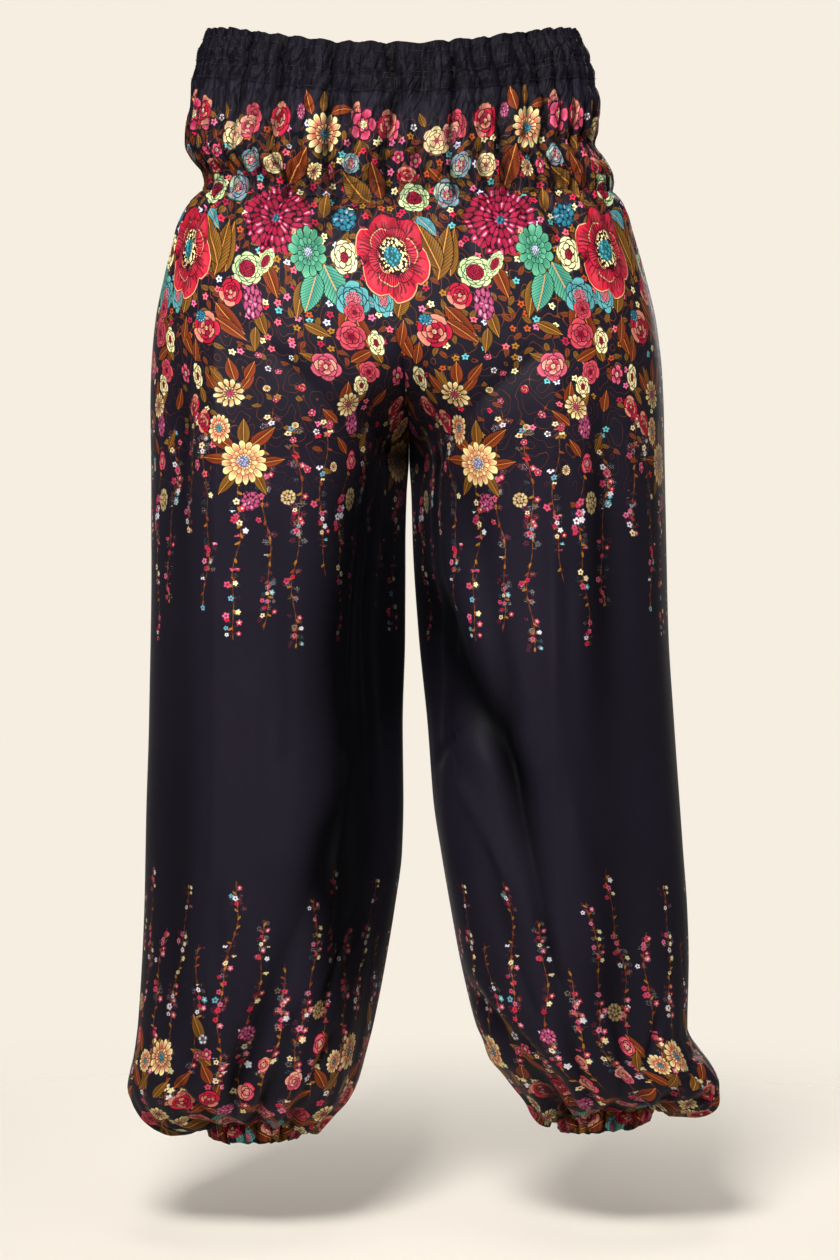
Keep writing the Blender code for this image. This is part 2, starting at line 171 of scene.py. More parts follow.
LEG_SECTIONS = {
    # drop, outer, inner, back, front, lift, tilt
    Side.LEFT: (
        (386, 210.6, -12.6, 139.8, 125.8),
        (430, 210.6, -11.4, 135, 124),
        (509, 211.8, -11.2, 128, 121),
        (588, 213.8, -9, 122, 118),
        (654, 215.8, -9.6, 118.5, 117),
        (700, 217, -8.4, 117, 116),
        (746, 218.2, -2.6, 115.5, 115),
        (799, 220.6, 6.2, 114, 114),
        (852, 224, 16.7, 110, 113),
        (878, 227.6, 23.4, 104.5, 111),
        (892, 231, 27, 98.5, 107.5),
        (905, 233.2, 31.2, 91, 102, 1),
        (918, 229.5, 38, 82, 94, 4),
        (931, 221.5, 51, 72, 84, 9),
        (941, 210, 61, 64, 74, 15),
        (946.5, 196, 66.5, 59, 67, 17.5),
        (944, 178, 73, 55.5, 61, 13),
        (932, 163.5, 78.5, 49, 49),
    ),
    Side.RIGHT: (
        (386, 239.6, 17.2, 139.8, 125.8),
        (430, 240.6, 18.5, 135, 124),
        (509, 242.8, 23.8, 128, 121),
        (588, 248.2, 31.7, 122, 118),
        (654, 252.9, 36.8, 118.5, 117),
        (700, 256.2, 43.8, 117, 116),
        (746, 259.6, 51.6, 115.5, 115),
        (799, 261.4, 61.4, 114, 114),
        (852, 260, 74.6, 110, 113),
        (865, 264.4, 80.4, 107, 112),
        (878, 273.5, 84.6, 102.5, 110),
        (891.5, 283, 96.4, 95.5, 106, 0, -0.005),
        (905.5, 289, 107, 87, 99, 2, -0.006),
        (919.2, 288, 118, 78, 90, 6, -0.012),
        (929, 281.6, 123.6, 68.5, 78, 13, -0.032),
        (935.2, 268, 131, 61, 68, 17, -0.073),
        (936.2, 248, 138, 56, 61, 15, -0.117),
        (922, 230.5, 145.5, 49, 49, 0, -0.13),
    ),
}

CREASES = tuple(Crease(face, *row) for face, rows in (
    # from x and drop, to x and drop, width, height, bow, crispness
    (Face.BACK, (
        (-4, 440, -28, 740, 62, -20, 3),
        (-50, 690, -124, 868, 22, -11, -4, 0.4),
        (-30, 420, -32, 700, 30, -4, 3),
        (2, 700, -62, 850, 18, 3, 3),
        (-146, 250, -156, 800, 24, 8, 3, 0.85),
        (-182, 330, -188, 810, 27, -9.5, 2),
        (44, 500, 98, 606, 20, -13, -5, 0.1),
        (94, 596, 134, 770, 17, -14, 3, 0.35),
        (66, 400, 100, 560, 21, -7, 3),
        (140, 520, 162, 760, 22, 4.5, 4),
        (137, 300, 145, 780, 20, 7, -3, 0.6),
        (181, 360, 190, 800, 33, -12, 2),
        (78, 830, 142, 925, 13, -9, 5),
        (232, 930, 284, 905, 10, -6),
        (-62, 290, 4, 345, 24, -4.5, 5),
        (88, 290, 24, 345, 24, -4.5, -5),
    )),
    (Face.FRONT, (
        (-20, 430, -88, 720, 27, -9, 5),
        (-88, 720, -150, 860, 25, -7, -5),
        (-150, 330, -156, 690, 24, 5, 3),
        (40, 440, 112, 640, 25, -9, -4),
        (112, 640, 160, 800, 23, -8, 4),
        (190, 330, 198, 690, 26, 5, -3),
        (-70, 280, 4, 345, 26, -5.5, 6),
        (96, 280, 24, 345, 26, -5.5, -6),
    )),
    # finer ones: seat, crotch, thighs, calves, hems
    (Face.BACK, (
        (-34, 250, -6, 318, 7, -2.6, 2),
        (40, 246, 12, 322, 7, -2.8, -2),
        (-96, 262, -22, 352, 9, -2.4, 5),
        (116, 268, 40, 348, 9, -2.6, -5),
        (-14, 372, -22, 560, 6, -2.6, 2),
        (-2, 395, -6, 640, 5, -2.2, -1.5),
        (30, 350, 40, 520, 6, -2.4, -3),
        (34, 622, 52, 590, 5, -3, 2),
        (44, 566, 54, 612, 5, -3, -2),
        (-96, 420, -88, 600, 12, -2, 4),
        (-118, 560, -104, 700, 14, 2.2, -4),
        (-30, 610, -44, 742, 8, 2.6, 3),
        (-20, 760, -72, 868, 9, -6, -3),
        (-150, 742, -172, 872, 12, -5.5, 4),
        (-84, 838, -112, 918, 8, -6, 2),
        (-130, 862, -136, 926, 8, -5.5, -2),
        (-192, 884, -150, 934, 8, -5.5, -3),
        (-50, 860, -84, 926, 8, -6.5, -3),
        (150, 470, 158, 640, 13, -2, -4),
        (158, 660, 176, 800, 12, 2.4, 4),
        (84, 700, 118, 812, 10, -5, -3),
        (62, 640, 92, 700, 8, 2.4, 2),
        (146, 802, 170, 908, 10, -6.5, -4),
        (194, 836, 196, 914, 8, -5.5, 3),
        (230, 840, 214, 916, 8, -5.5, -2),
        (268, 866, 232, 918, 8, -6, 4),
        (116, 858, 156, 914, 8, -6, 3),
    )),
    (Face.FRONT, (
        (-30, 236, -8, 300, 8, -2.6, 3),
        (36, 240, 12, 306, 8, -2.6, -3),
        (-120, 300, -34, 380, 12, -2.6, 6),
        (142, 296, 52, 384, 12, -2.6, -6),
        (-14, 380, -26, 590, 7, -2.6, 3),
        (34, 370, 46, 560, 7, -2.4, -3),
        (-112, 520, -104, 690, 14, 2.4, -5),
        (150, 500, 164, 660, 13, 2.4, 5),
        (-40, 700, -84, 850, 10, -5, -4),
        (92, 720, 138, 870, 10, -5, 4),
        (-94, 842, -114, 924, 8, -5.5, 2),
        (-150, 850, -136, 924, 8, -5, -2),
        (-192, 884, -152, 934, 8, -5.5, -3),
        (172, 834, 184, 912, 8, -5.5, -2),
        (234, 842, 208, 914, 8, -5, 2),
        (128, 846, 164, 912, 8, -5.5, 3),
    )),
) for row in rows)


class Bloom(Enum):
    """A kind of flower in the print: its value is its place in the colour and form ramps."""

    POPPY = 0
    MUM = 1
    PEACH_DAISY = 2
    MINT_DAISY = 3
    CREAM_DAISY = 4
    RED_ROSE = 5
    CREAM_ROSE = 6
    TEAL_ROSE = 7
    PINK_ROSE = 8
    FRINGED = 9
    CREAM_OPEN = 10
    TEAL_OPEN = 11
    TUFT = 12
    BERRIES = 13
    BUD = 14
    PINK_FIVE = 15
    WHITE_FIVE = 16
    CORAL_OPEN = 17
    KHAKI = 18
    PEACH_LILAC = 19


class Leaf(Enum):
    """A kind of leaf in the print: its value is its place in the colour ramps."""

    RUST = 0
    OCHRE = 1
    MINT = 2
    TEAL = 3


class Motif(NamedTuple):
    """A flower or a leaf of the repeat."""

    kind: Bloom | Leaf
    across: float             # share of the repeat
    down: float               # along the cloth
    wide: float               # half its width
    tall: float               # half its height, or half a leaf's length
    lean: float = 0.0         # degrees to the right


class Vine(NamedTuple):
    """A thin stem with small blossoms, hanging from the upper flowers or rising from the hem."""

    across: float
    top: float
    bottom: float


class Colours(NamedTuple):
    """The colours and the form of one kind of flower."""

    outer: str
    inner: str
    core: str
    petals: float
    dent: float               # how deep the gaps between the petals are
    step: float               # how much smaller each ring of petals is than the last
    core_size: float
    cluster: float            # 1 is a head of tiny florets
    streaks: float


BLOOMS = {
    #                          outer      inner      core      petals dent step core cluster streaks
    Bloom.POPPY: Colours("#b81d34", "#5c0b1a", "#3f9aa6", 6, 0.16, 0.32, 0.21, 0, 1.0),
    Bloom.MUM: Colours("#bd2a52", "#8c1632", "#3a7c92", 17, 0.14, 0.25, 0.11, 1, 0.2),
    Bloom.PEACH_DAISY: Colours("#f2dc9a", "#dd6652", "#4a9fae", 14, 0.26, 0.50, 0.20, 0, 0.9),
    Bloom.MINT_DAISY: Colours("#5ba37e", "#3d8a71", "#c9cbe6", 13, 0.20, 0.42, 0.18, 0, 0.8),
    Bloom.CREAM_DAISY: Colours("#f1e0a2", "#dda56a", "#c04a68", 12, 0.30, 0.50, 0.22, 0, 0.7),
    Bloom.RED_ROSE: Colours("#c01f3b", "#8f1630", "#e8c79a", 5, 0.10, 0.30, 0.12, 0, 0.35),
    Bloom.CREAM_ROSE: Colours("#f3e2a4", "#e9b98a", "#c9566a", 6, 0.12, 0.26, 0.16, 0, 0.5),
    Bloom.TEAL_ROSE: Colours("#5a9fa5", "#c84f6e", "#e9dca0", 5, 0.14, 0.27, 0.14, 0, 0.4),
    Bloom.PINK_ROSE: Colours("#d35f73", "#a82645", "#efd79c", 5, 0.18, 0.28, 0.13, 0, 0.6),
    Bloom.FRINGED: Colours("#c2d196", "#50a68c", "#a11d38", 8, 0.12, 0.20, 0.46, 0, 0.3),
    Bloom.CREAM_OPEN: Colours("#f4e6ac", "#ecd79a", "#9d1f38", 5, 0.20, 0.22, 0.28, 0, 0.35),
    Bloom.TEAL_OPEN: Colours("#5da2a2", "#468f97", "#e07884", 6, 0.18, 0.24, 0.38, 0, 0.35),
    Bloom.TUFT: Colours("#3f93a8", "#256a80", "#2a5f74", 9, 0.10, 0.26, 0.05, 0.66, 0.0),
    Bloom.BERRIES: Colours("#cf6488", "#9c3a62", "#3a5f80", 9, 0.06, 0.26, 0.05, 0.66, 0.0),
    Bloom.BUD: Colours("#d02645", "#e8798a", "#f0d89c", 3, 0.20, 0.34, 0.16, 0, 0.5),
    Bloom.PINK_FIVE: Colours("#df5f7c", "#b52c50", "#f3e2a4", 5, 0.34, 0.50, 0.22, 0, 0.5),
    Bloom.WHITE_FIVE: Colours("#eef0e2", "#cfd6e6", "#b02a4c", 5, 0.32, 0.50, 0.24, 0, 0.4),
    Bloom.CORAL_OPEN: Colours("#cb4c58", "#a82a41", "#8f1430", 5, 0.18, 0.28, 0.20, 0, 0.5),
    Bloom.KHAKI: Colours("#d4c184", "#b08c58", "#8f3048", 10, 0.10, 0.26, 0.10, 0.62, 0.1),
    Bloom.PEACH_LILAC: Colours("#f2d792", "#e0664f", "#b4b6dc", 16, 0.26, 0.40, 0.24, 0, 0.9),
}

LEAF_COLOURS = {
    Leaf.RUST: ("#8a3d1c", "#5e240e"),
    Leaf.OCHRE: ("#835820", "#593910"),
    Leaf.MINT: ("#59a382", "#388070"),
    Leaf.TEAL: ("#569a9e", "#397984"),
}

SPRIG_COLOURS = ("#a81f3d", "#d9688c", "#c92540", "#f0dfa2", "#d9688c", "#a06c20", "#e2606f", "#ad4a1e",
                 "#5cb3b5", "#c92540", "#a06c20", "#c9cbe6", "#e2606f", "#f0dfa2", "#a81f3d", "#ad4a1e")

VINE_COLOURS = ("#c84e6c", "#a81f3d", "#efe0a8", "#c92540", "#dfe3ee", "#c84e6c", "#efe0a8", "#c23a58",
                "#5aa7b8", "#b93552", "#dfe3ee", "#d9688c")

INK = "#0b080f"
VINE_PARTS = (
    # pitch, reach, size, share left out: the leaflets, then two kinds of blossom
    (7.2, 2.0, 1.0, 0.40),
    (6.3, 5.6, 2.7, 0.60),
    (8.1, 6.2, 3.2, 0.66),
)

LEAVES = tuple(Motif(*row) for row in (
    # kind, across, down, wide, tall, lean
    (Leaf.OCHRE, 0.27, 176, 7, 23, 10),
    (Leaf.OCHRE, 0.23, 177, 10, 26, 15),
    (Leaf.RUST, 0.61, 38, 5, 11, -15),
    (Leaf.OCHRE, 0.68, 35, 3.5, 10, 2),
    (Leaf.RUST, 0.77, 43, 5, 10, 75),
    (Leaf.OCHRE, 0.16, 51, 3.5, 7, -20),
    (Leaf.OCHRE, 0.43, 75, 4, 7, 5),
    (Leaf.OCHRE, 0.86, 75, 4, 6, 15),
    (Leaf.OCHRE, 0.99, 80, 4, 6, -10),
    (Leaf.RUST, 0.58, 95, 10, 18, 22),
    (Leaf.OCHRE, 0.86, 114, 11, 19, -38),
    (Leaf.RUST, 0.95, 105, 8, 17, -15),
    (Leaf.OCHRE, 0.72, 130, 6, 13, 5),
    (Leaf.RUST, 0.22, 101, 5, 8, -40),
    (Leaf.OCHRE, 0.59, 220, 7, 18, 195),
    (Leaf.RUST, 0.47, 204, 7, 16, 165),
    (Leaf.MINT, 0.75, 210, 13, 23, 158),
    (Leaf.TEAL, 0.87, 220, 7, 13, 118),
    (Leaf.TEAL, 0.17, 152, 7, 12, 140),
    (Leaf.RUST, 0.27, 240, 8, 18, 140),
    (Leaf.RUST, 0.78, 236, 8, 18, 200),
    (Leaf.OCHRE, 0.41, 242, 6, 13, 170),
    (Leaf.RUST, 0.84, 250, 8, 18, 165),
    (Leaf.OCHRE, 0.03, 220, 8, 16, 20),
    (Leaf.RUST, 0.02, 261, 7, 16, 160),
    (Leaf.OCHRE, 0.65, 248, 6, 12, 120),
    (Leaf.RUST, 0.27, 249, 7, 16, 130),
    (Leaf.OCHRE, 0.37, 258, 5, 12, 190),
    (Leaf.MINT, 0.64, 214, 11, 19, 200),
    (Leaf.OCHRE, 0.17, 171, 10, 23, -20),
    (Leaf.RUST, 0.54, 177, 5, 11, 120),
    (Leaf.RUST, 0.14, 302, 5, 11, -30),
    (Leaf.RUST, 0.30, 302, 5, 12, 35),
    (Leaf.OCHRE, 0.18, 298, 4, 9, -10),
    (Leaf.RUST, 0.24, 290, 6, 12, -5),
    (Leaf.RUST, 0.32, 290, 5, 11, 30),
    (Leaf.OCHRE, 0.17, 296, 4, 11, -30),
    (Leaf.RUST, 0.19, 366, 7, 15, -50),
    (Leaf.RUST, 0.37, 363, 7, 15, 45),
    (Leaf.OCHRE, 0.29, 357, 6, 14),
    (Leaf.OCHRE, 0.22, 405, 5, 11, 215),
    (Leaf.OCHRE, 0.36, 405, 5, 11, 150),
    (Leaf.RUST, 0.17, 384, 5, 12, -85),
    (Leaf.RUST, 0.41, 387, 5, 11, 80),
    (Leaf.RUST, 0.82, 273, 6, 13, 60),
    (Leaf.OCHRE, 0.60, 276, 5, 11, -60),
    (Leaf.RUST, 0.90, 321, 5, 12, 15),
    (Leaf.OCHRE, 0.85, 366, 4, 11, 20),
    (Leaf.RUST, 0.72, 372, 4, 10, -30),
    (Leaf.RUST, 0.72, 315, 6, 14, 10),
    (Leaf.OCHRE, 0.78, 322, 5, 12, 40),
    (Leaf.RUST, 0.66, 340, 5, 11, -40),
    (Leaf.OCHRE, 0.88, 270, 5, 11, -15),
    (Leaf.RUST, 0.07, 270, 5, 11, 10),
    (Leaf.OCHRE, 0.09, 316, 4, 10, -20),
    (Leaf.RUST, 0.01, 250, 5, 12, 15),
    (Leaf.RUST, 0.79, 890, 6, 13, -30),
    (Leaf.OCHRE, 0.94, 897, 5, 12, 25),
    (Leaf.RUST, 0.81, 924, 6, 13, -40),
    (Leaf.OCHRE, 0.01, 933, 5, 11, 40),
    (Leaf.OCHRE, 0.17, 874, 6, 13, -25),
    (Leaf.OCHRE, 0.20, 900, 6, 13, -60),
    (Leaf.RUST, 0.27, 957, 7, 12, -60),
    (Leaf.RUST, 0.46, 999, 7, 12, 70),
    (Leaf.RUST, 0.88, 977, 7, 14, 60),
    (Leaf.OCHRE, 0.11, 990, 7, 14, -60),
    (Leaf.MINT, 0.29, 980, 8, 14, 55),
    (Leaf.OCHRE, 0.75, 990, 6, 13, 50),
    (Leaf.RUST, 0.64, 974, 6, 12, -50),
    (Leaf.RUST, 0.72, 944, 7, 13, 50),
    (Leaf.RUST, 0.12, 924, 6, 11, 40),
    (Leaf.OCHRE, 0.89, 924, 5, 12, -30),
    (Leaf.RUST, 0.22, 957, 6, 11, 60),
    (Leaf.OCHRE, 0.77, 903, 5, 11, 20),
    (Leaf.RUST, 0.24, 915, 6, 11, -30),
    (Leaf.RUST, 0.51, 957, 6, 11, -60),
    (Leaf.RUST, 0.30, 936, 5, 11, 10),
    (Leaf.OCHRE, 0.89, 928, 5, 11, 40),
    (Leaf.RUST, 0.18, 1022, 7, 14, 60),
    (Leaf.OCHRE, 0.24, 1013, 6, 12, -60),
    (Leaf.MINT, 0.36, 1028, 8, 15, 40),
    (Leaf.RUST, 0.60, 1024, 8, 15, -50),
    (Leaf.OCHRE, 0.63, 1012, 6, 12, 50),
    (Leaf.RUST, 0.83, 1021, 7, 14, -70),
    (Leaf.OCHRE, 0.97, 1028, 6, 12, 60),
))

FLOWERS = tuple(Motif(*row) for row in (
    # kind, across, down, wide, tall, lean
    (Bloom.BUD, 0.84, 44, 5, 12, 5),
    (Bloom.PINK_FIVE, 0.02, 59, 7, 14),
    (Bloom.CREAM_ROSE, 0.23, 71, 13, 15),
    (Bloom.CORAL_OPEN, 0.33, 56, 9, 16, -10),
    (Bloom.PINK_ROSE, 0.30, 64, 9, 12, 20),
    (Bloom.RED_ROSE, 0.47, 55, 11, 18),
    (Bloom.PEACH_DAISY, 0.69, 64, 17, 21),
    (Bloom.PINK_FIVE, 0.88, 56, 13, 18),
    (Bloom.RED_ROSE, 0.99, 54, 9, 15, 10),
    (Bloom.BERRIES, 0.57, 46, 4, 8),
    (Bloom.WHITE_FIVE, 0.12, 58, 3.5, 4),
    (Bloom.WHITE_FIVE, 0.53, 78, 2.5, 2.5),
    (Bloom.TEAL_ROSE, 0.83, 90, 9, 11),
    (Bloom.CREAM_DAISY, 0.66, 99, 7, 9),
    (Bloom.PINK_FIVE, 0.73, 98, 4, 9),
    (Bloom.TEAL_ROSE, 0.34, 93, 10, 14, 20),
    (Bloom.CREAM_ROSE, 0.46, 94, 10, 12),
    (Bloom.PINK_FIVE, 0.13, 87, 6, 8),
    (Bloom.BERRIES, 0.10, 99, 7, 7),
    (Bloom.PINK_FIVE, 0.05, 85, 6, 7),
    (Bloom.RED_ROSE, 0.09, 101, 10, 9),
    (Bloom.TEAL_ROSE, 0.27, 119, 13, 18),
    (Bloom.FRINGED, 0.12, 123, 15, 18),
    (Bloom.MUM, 0.50, 148, 34, 38),
    (Bloom.TUFT, 0.81, 146, 12, 13),
    (Bloom.MINT_DAISY, 0.64, 177, 18, 26),
    (Bloom.CREAM_OPEN, 0.80, 182, 13, 19),
    (Bloom.FRINGED, 0.36, 195, 17, 17),
    (Bloom.FRINGED, 0.45, 188, 7, 14, 30),
    (Bloom.RED_ROSE, 0.28, 216, 12, 14),
    (Bloom.BERRIES, 0.38, 224, 10, 17),
    (Bloom.CREAM_DAISY, 0.58, 160, 2.5, 2.5),
    (Bloom.TEAL_OPEN, 0.82, 220, 17, 19),
    (Bloom.TEAL_OPEN, 0.95, 219, 10, 18),
    (Bloom.POPPY, 0.01, 180, 34, 46),
    (Bloom.CORAL_OPEN, 0.79, 254, 15, 17),
    (Bloom.CORAL_OPEN, 0.82, 231, 10, 11),
    (Bloom.RED_ROSE, 0.15, 249, 17, 18),
    (Bloom.TUFT, 0.12, 238, 7, 6),
    (Bloom.CREAM_OPEN, 0.89, 260, 8, 15),
    (Bloom.PINK_ROSE, 0.65, 285, 15, 18),
    (Bloom.CORAL_OPEN, 0.83, 291, 10, 14),
    (Bloom.CREAM_DAISY, 0.22, 315, 15, 18),
    (Bloom.CREAM_OPEN, 0.06, 297, 7, 16),
    (Bloom.CREAM_OPEN, 0.79, 306, 8, 13),
    (Bloom.RED_ROSE, 0.11, 346, 9, 15),
    (Bloom.PINK_ROSE, 0.75, 330, 10, 15),
    (Bloom.BERRIES, 0.77, 350, 7, 15),
    (Bloom.PINK_FIVE, 0.97, 294, 7, 12),
    (Bloom.PEACH_LILAC, 0.29, 387, 21, 22),
    (Bloom.BUD, 0.78, 387, 7, 11),
    (Bloom.CREAM_DAISY, 0.74, 328, 12, 16),
    (Bloom.RED_ROSE, 0.03, 328, 9, 14),
    (Bloom.PEACH_DAISY, 0.19, 354, 10, 18),
    (Bloom.KHAKI, 0.48, 417, 7, 7),
    (Bloom.BERRIES, 0.32, 420, 9, 9),
    (Bloom.KHAKI, 0.80, 420, 7, 11),
    (Bloom.PINK_FIVE, 0.37, 274, 4, 4),
    (Bloom.WHITE_FIVE, 0.40, 288, 3.5, 4),
    (Bloom.PINK_FIVE, 0.44, 291, 3.5, 3.5),
    (Bloom.CREAM_DAISY, 0.38, 309, 4, 4),
    (Bloom.PINK_FIVE, 0.42, 321, 3.5, 4),
    (Bloom.CREAM_DAISY, 0.51, 350, 3.5, 4),
    (Bloom.PINK_FIVE, 0.50, 366, 3.5, 4),
    (Bloom.WHITE_FIVE, 0.51, 276, 2.5, 3.5),
    (Bloom.RED_ROSE, 0.53, 308, 4, 5),
    (Bloom.PINK_FIVE, 0.58, 336, 4, 5),
    (Bloom.WHITE_FIVE, 0.60, 357, 3.5, 4),
    (Bloom.PINK_FIVE, 0.66, 348, 3.5, 4),
    (Bloom.CREAM_DAISY, 0.68, 392, 4, 5),
    (Bloom.PINK_FIVE, 0.56, 394, 4, 4),
    (Bloom.PINK_FIVE, 0.07, 390, 4, 6),
    (Bloom.PEACH_DAISY, 0.99, 903, 15, 19),
    (Bloom.RED_ROSE, 0.12, 948, 13, 11),
    (Bloom.CREAM_DAISY, 0.04, 976, 11, 8),
    (Bloom.PINK_FIVE, 0.18, 900, 5, 6),
    (Bloom.WHITE_FIVE, 0.20, 884, 6, 6),
    (Bloom.BUD, 0.50, 906, 6, 8),
    (Bloom.BUD, 0.45, 934, 9, 11),
    (Bloom.PINK_ROSE, 0.58, 966, 11, 9),
    (Bloom.PEACH_DAISY, 0.87, 909, 10, 12),
    (Bloom.PINK_FIVE, 0.23, 897, 6, 7),
    (Bloom.BERRIES, 0.40, 879, 8, 8),
    (Bloom.RED_ROSE, 0.27, 941, 11, 10),
    (Bloom.BERRIES, 0.35, 958, 9, 9),
    (Bloom.KHAKI, 0.72, 860, 8, 9),
    (Bloom.BUD, 0.75, 890, 8, 11),
    (Bloom.PINK_ROSE, 0.66, 922, 8, 10),
    (Bloom.CREAM_DAISY, 0.95, 962, 12, 10),
    (Bloom.RED_ROSE, 0.19, 978, 13, 10),
    (Bloom.PINK_ROSE, 0.37, 986, 12, 9),
    (Bloom.CORAL_OPEN, 0.81, 970, 12, 10),
    (Bloom.TEAL_OPEN, 0.69, 984, 9, 8),
    (Bloom.CREAM_OPEN, 0.90, 990, 8, 7),
    (Bloom.RED_ROSE, 0.56, 999, 12, 9),
    (Bloom.PINK_ROSE, 0.06, 1016, 13, 10),
    (Bloom.TEAL_OPEN, 0.30, 1026, 8, 11),
    (Bloom.RED_ROSE, 0.46, 1018, 14, 11),
    (Bloom.CORAL_OPEN, 0.73, 1024, 12, 10),
    (Bloom.CREAM_DAISY, 0.90, 1013, 7, 7),
))

VINES = tuple(Vine(*row) for row in (
    # across, top, bottom
    (0.02, 330, 446),
    (0.13, 352, 514),
    (0.26, 404, 538),
    (0.39, 330, 530),
    (0.52, 350, 545),
    (0.64, 340, 486),
    (0.75, 394, 540),
    (0.87, 352, 508),
    (0.02, 752, 948),
    (0.15, 800, 966),
    (0.28, 744, 944),
    (0.41, 778, 962),
    (0.53, 818, 938),
    (0.65, 762, 958),
    (0.77, 734, 946),
    (0.9, 790, 952),
))


def eased(share: Array | float) -> Array:
    """An ease from 0 to 1."""
    held = np.clip(share, 0.0, 1.0)
    return held * held * (3.0 - 2.0 * held)


def rounded(value: Array, squareness: Array | float) -> Array:
    """A sine or cosine raised to the power that squares a loop's corners, with its sign kept."""
    return np.sign(value) * np.abs(value) ** (2.0 / squareness)


def crested(wave: Array, power: float) -> Array:
    """A wave from -1 to 1 with wide ridges and narrow hollows, the more so the lower the power."""
    return 2.0 * ((wave + 1.0) / 2.0) ** power - 1.0


def unit(vectors: Array) -> Array:
    """The directions of some vectors."""
    return vectors / np.maximum(np.linalg.norm(vectors, axis=-1, keepdims=True), 1e-9)


def run_along(points: Array) -> Array:
    """Distance along each row of a grid from its first point, or along one row."""
    steps = np.linalg.norm(np.diff(points, axis=-2), axis=-1)
    return np.concatenate([np.zeros((*steps.shape[:-1], 1)), np.cumsum(steps, axis=-1)], axis=-1)


def drift(across: Array, down: Array, seed: float = 0.0) -> Array:
    """Smooth uneven values from -1 to 1.

    Args:
        across: Places along one direction, one unit for each lump.
        down: Places along the other direction.
        seed: Tells one field of lumps from another.

    Returns:
        A value for each place.
    """
    across, down = np.broadcast_arrays(across, down)
    left, top = np.floor(across), np.floor(down)
    along, below = eased(across - left), eased(down - top)

    def corner(i: Array, j: Array) -> Array:
        """The value at a corner of the field."""
        raw = np.sin(i * 127.1 + j * 311.7 + seed * 74.7) * 43758.5453
        return (raw - np.floor(raw)) * 2.0 - 1.0

    upper = corner(left, top) * (1 - along) + corner(left + 1, top) * along
    lower = corner(left, top + 1) * (1 - along) + corner(left + 1, top + 1) * along
    return upper * (1 - below) + lower * below


@dataclass(frozen=True)
class Track:
    """A smooth curve through the rows of a table, with no overshoot between them."""

    places: Array
    values: Array
    slopes: Array

    @classmethod
    def through(cls, places: Sequence[float], values: Sequence) -> Track:
        """The curve through some rows.

        Args:
            places: Where each row stands, in rising order.
            values: A number or a row of numbers for each place.

        Returns:
            The curve.
        """
        x = np.asarray(places, float)
        y = np.asarray(values, float).reshape(len(x), -1)
        steps = np.diff(x)[:, None]
        secants = np.diff(y, axis=0) / steps
        slopes = np.zeros_like(y)
        before, after = secants[:-1], secants[1:]
        same = before * after > 0.0
        total = np.where(same, before + after, 1.0)
        slopes[1:-1] = np.where(same, 2.0 * before * after / total, 0.0)
        slopes[0], slopes[-1] = secants[0], secants[-1]
        return cls(x, y, slopes)

    def at(self, places: Array) -> Array:
        """The row at each place.

        Args:
            places: Places on the curve; past an end they count as the end.

        Returns:
            A row for each place, with a column for each number of the table.
        """
        held = np.clip(np.asarray(places, float), self.places[0], self.places[-1])
        index = np.clip(np.searchsorted(self.places, held, side="right") - 1, 0, len(self.places) - 2)
        step = (self.places[index + 1] - self.places[index])[..., None]
        t = (held - self.places[index])[..., None] / step
        return ((2 * t**3 - 3 * t**2 + 1) * self.values[index]
                + (t**3 - 2 * t**2 + t) * step * self.slopes[index]
                + (3 * t**2 - 2 * t**3) * self.values[index + 1]
                + (t**3 - t**2) * step * self.slopes[index + 1])

    def named(self, kind: type, places: Array) -> NamedTuple:
        """The rows at some places as one tuple of the table's kind, whose fields are columns."""
        return kind(*np.moveaxis(self.at(places)[:, None, :], -1, 0))


@dataclass(frozen=True)
class Patch:
    """A grid of points on a surface, with what the folds and the print need to know there."""

    points: Array        # rows, columns, 3
    u: Array             # from 0 at the left side seam to 1 at the right one
    share: Array         # from 0 at the centre seam to 1 at a side seam
    drop: Array          # drop of each point's row
    length: Array        # the same, measured along the cloth

    def normals(self, outward: float) -> Array:
        """The outward unit normal at every point, for an outward of 1 or -1 as the columns run."""
        down, across = np.gradient(self.points, axis=0), np.gradient(self.points, axis=1)
        return unit(np.cross(down, across) * outward)


@dataclass(frozen=True)
class WaistDip:
    """How far the trunk hangs lower at its centre than at the sides."""

    back: float = 20.0
    front: float = 8.0
    sharpness: float = 3.0
    ends: float = 340.0

    def at(self, drop: Array, turn: Array, face: Face) -> Array:
        """The extra drop of points of a section.

        Args:
            drop: Their drop at the sides.
            turn: How far round from the centre they are, in radians.
            face: The half that they are on.

        Returns:
            Millimetres.
        """
        deepest = self.back if face is Face.BACK else self.front
        fade = np.clip(1.0 - drop / self.ends, 0.0, 1.0)
        return deepest * fade * np.maximum(0.0, np.cos(turn)) ** self.sharpness


DIP = WaistDip()


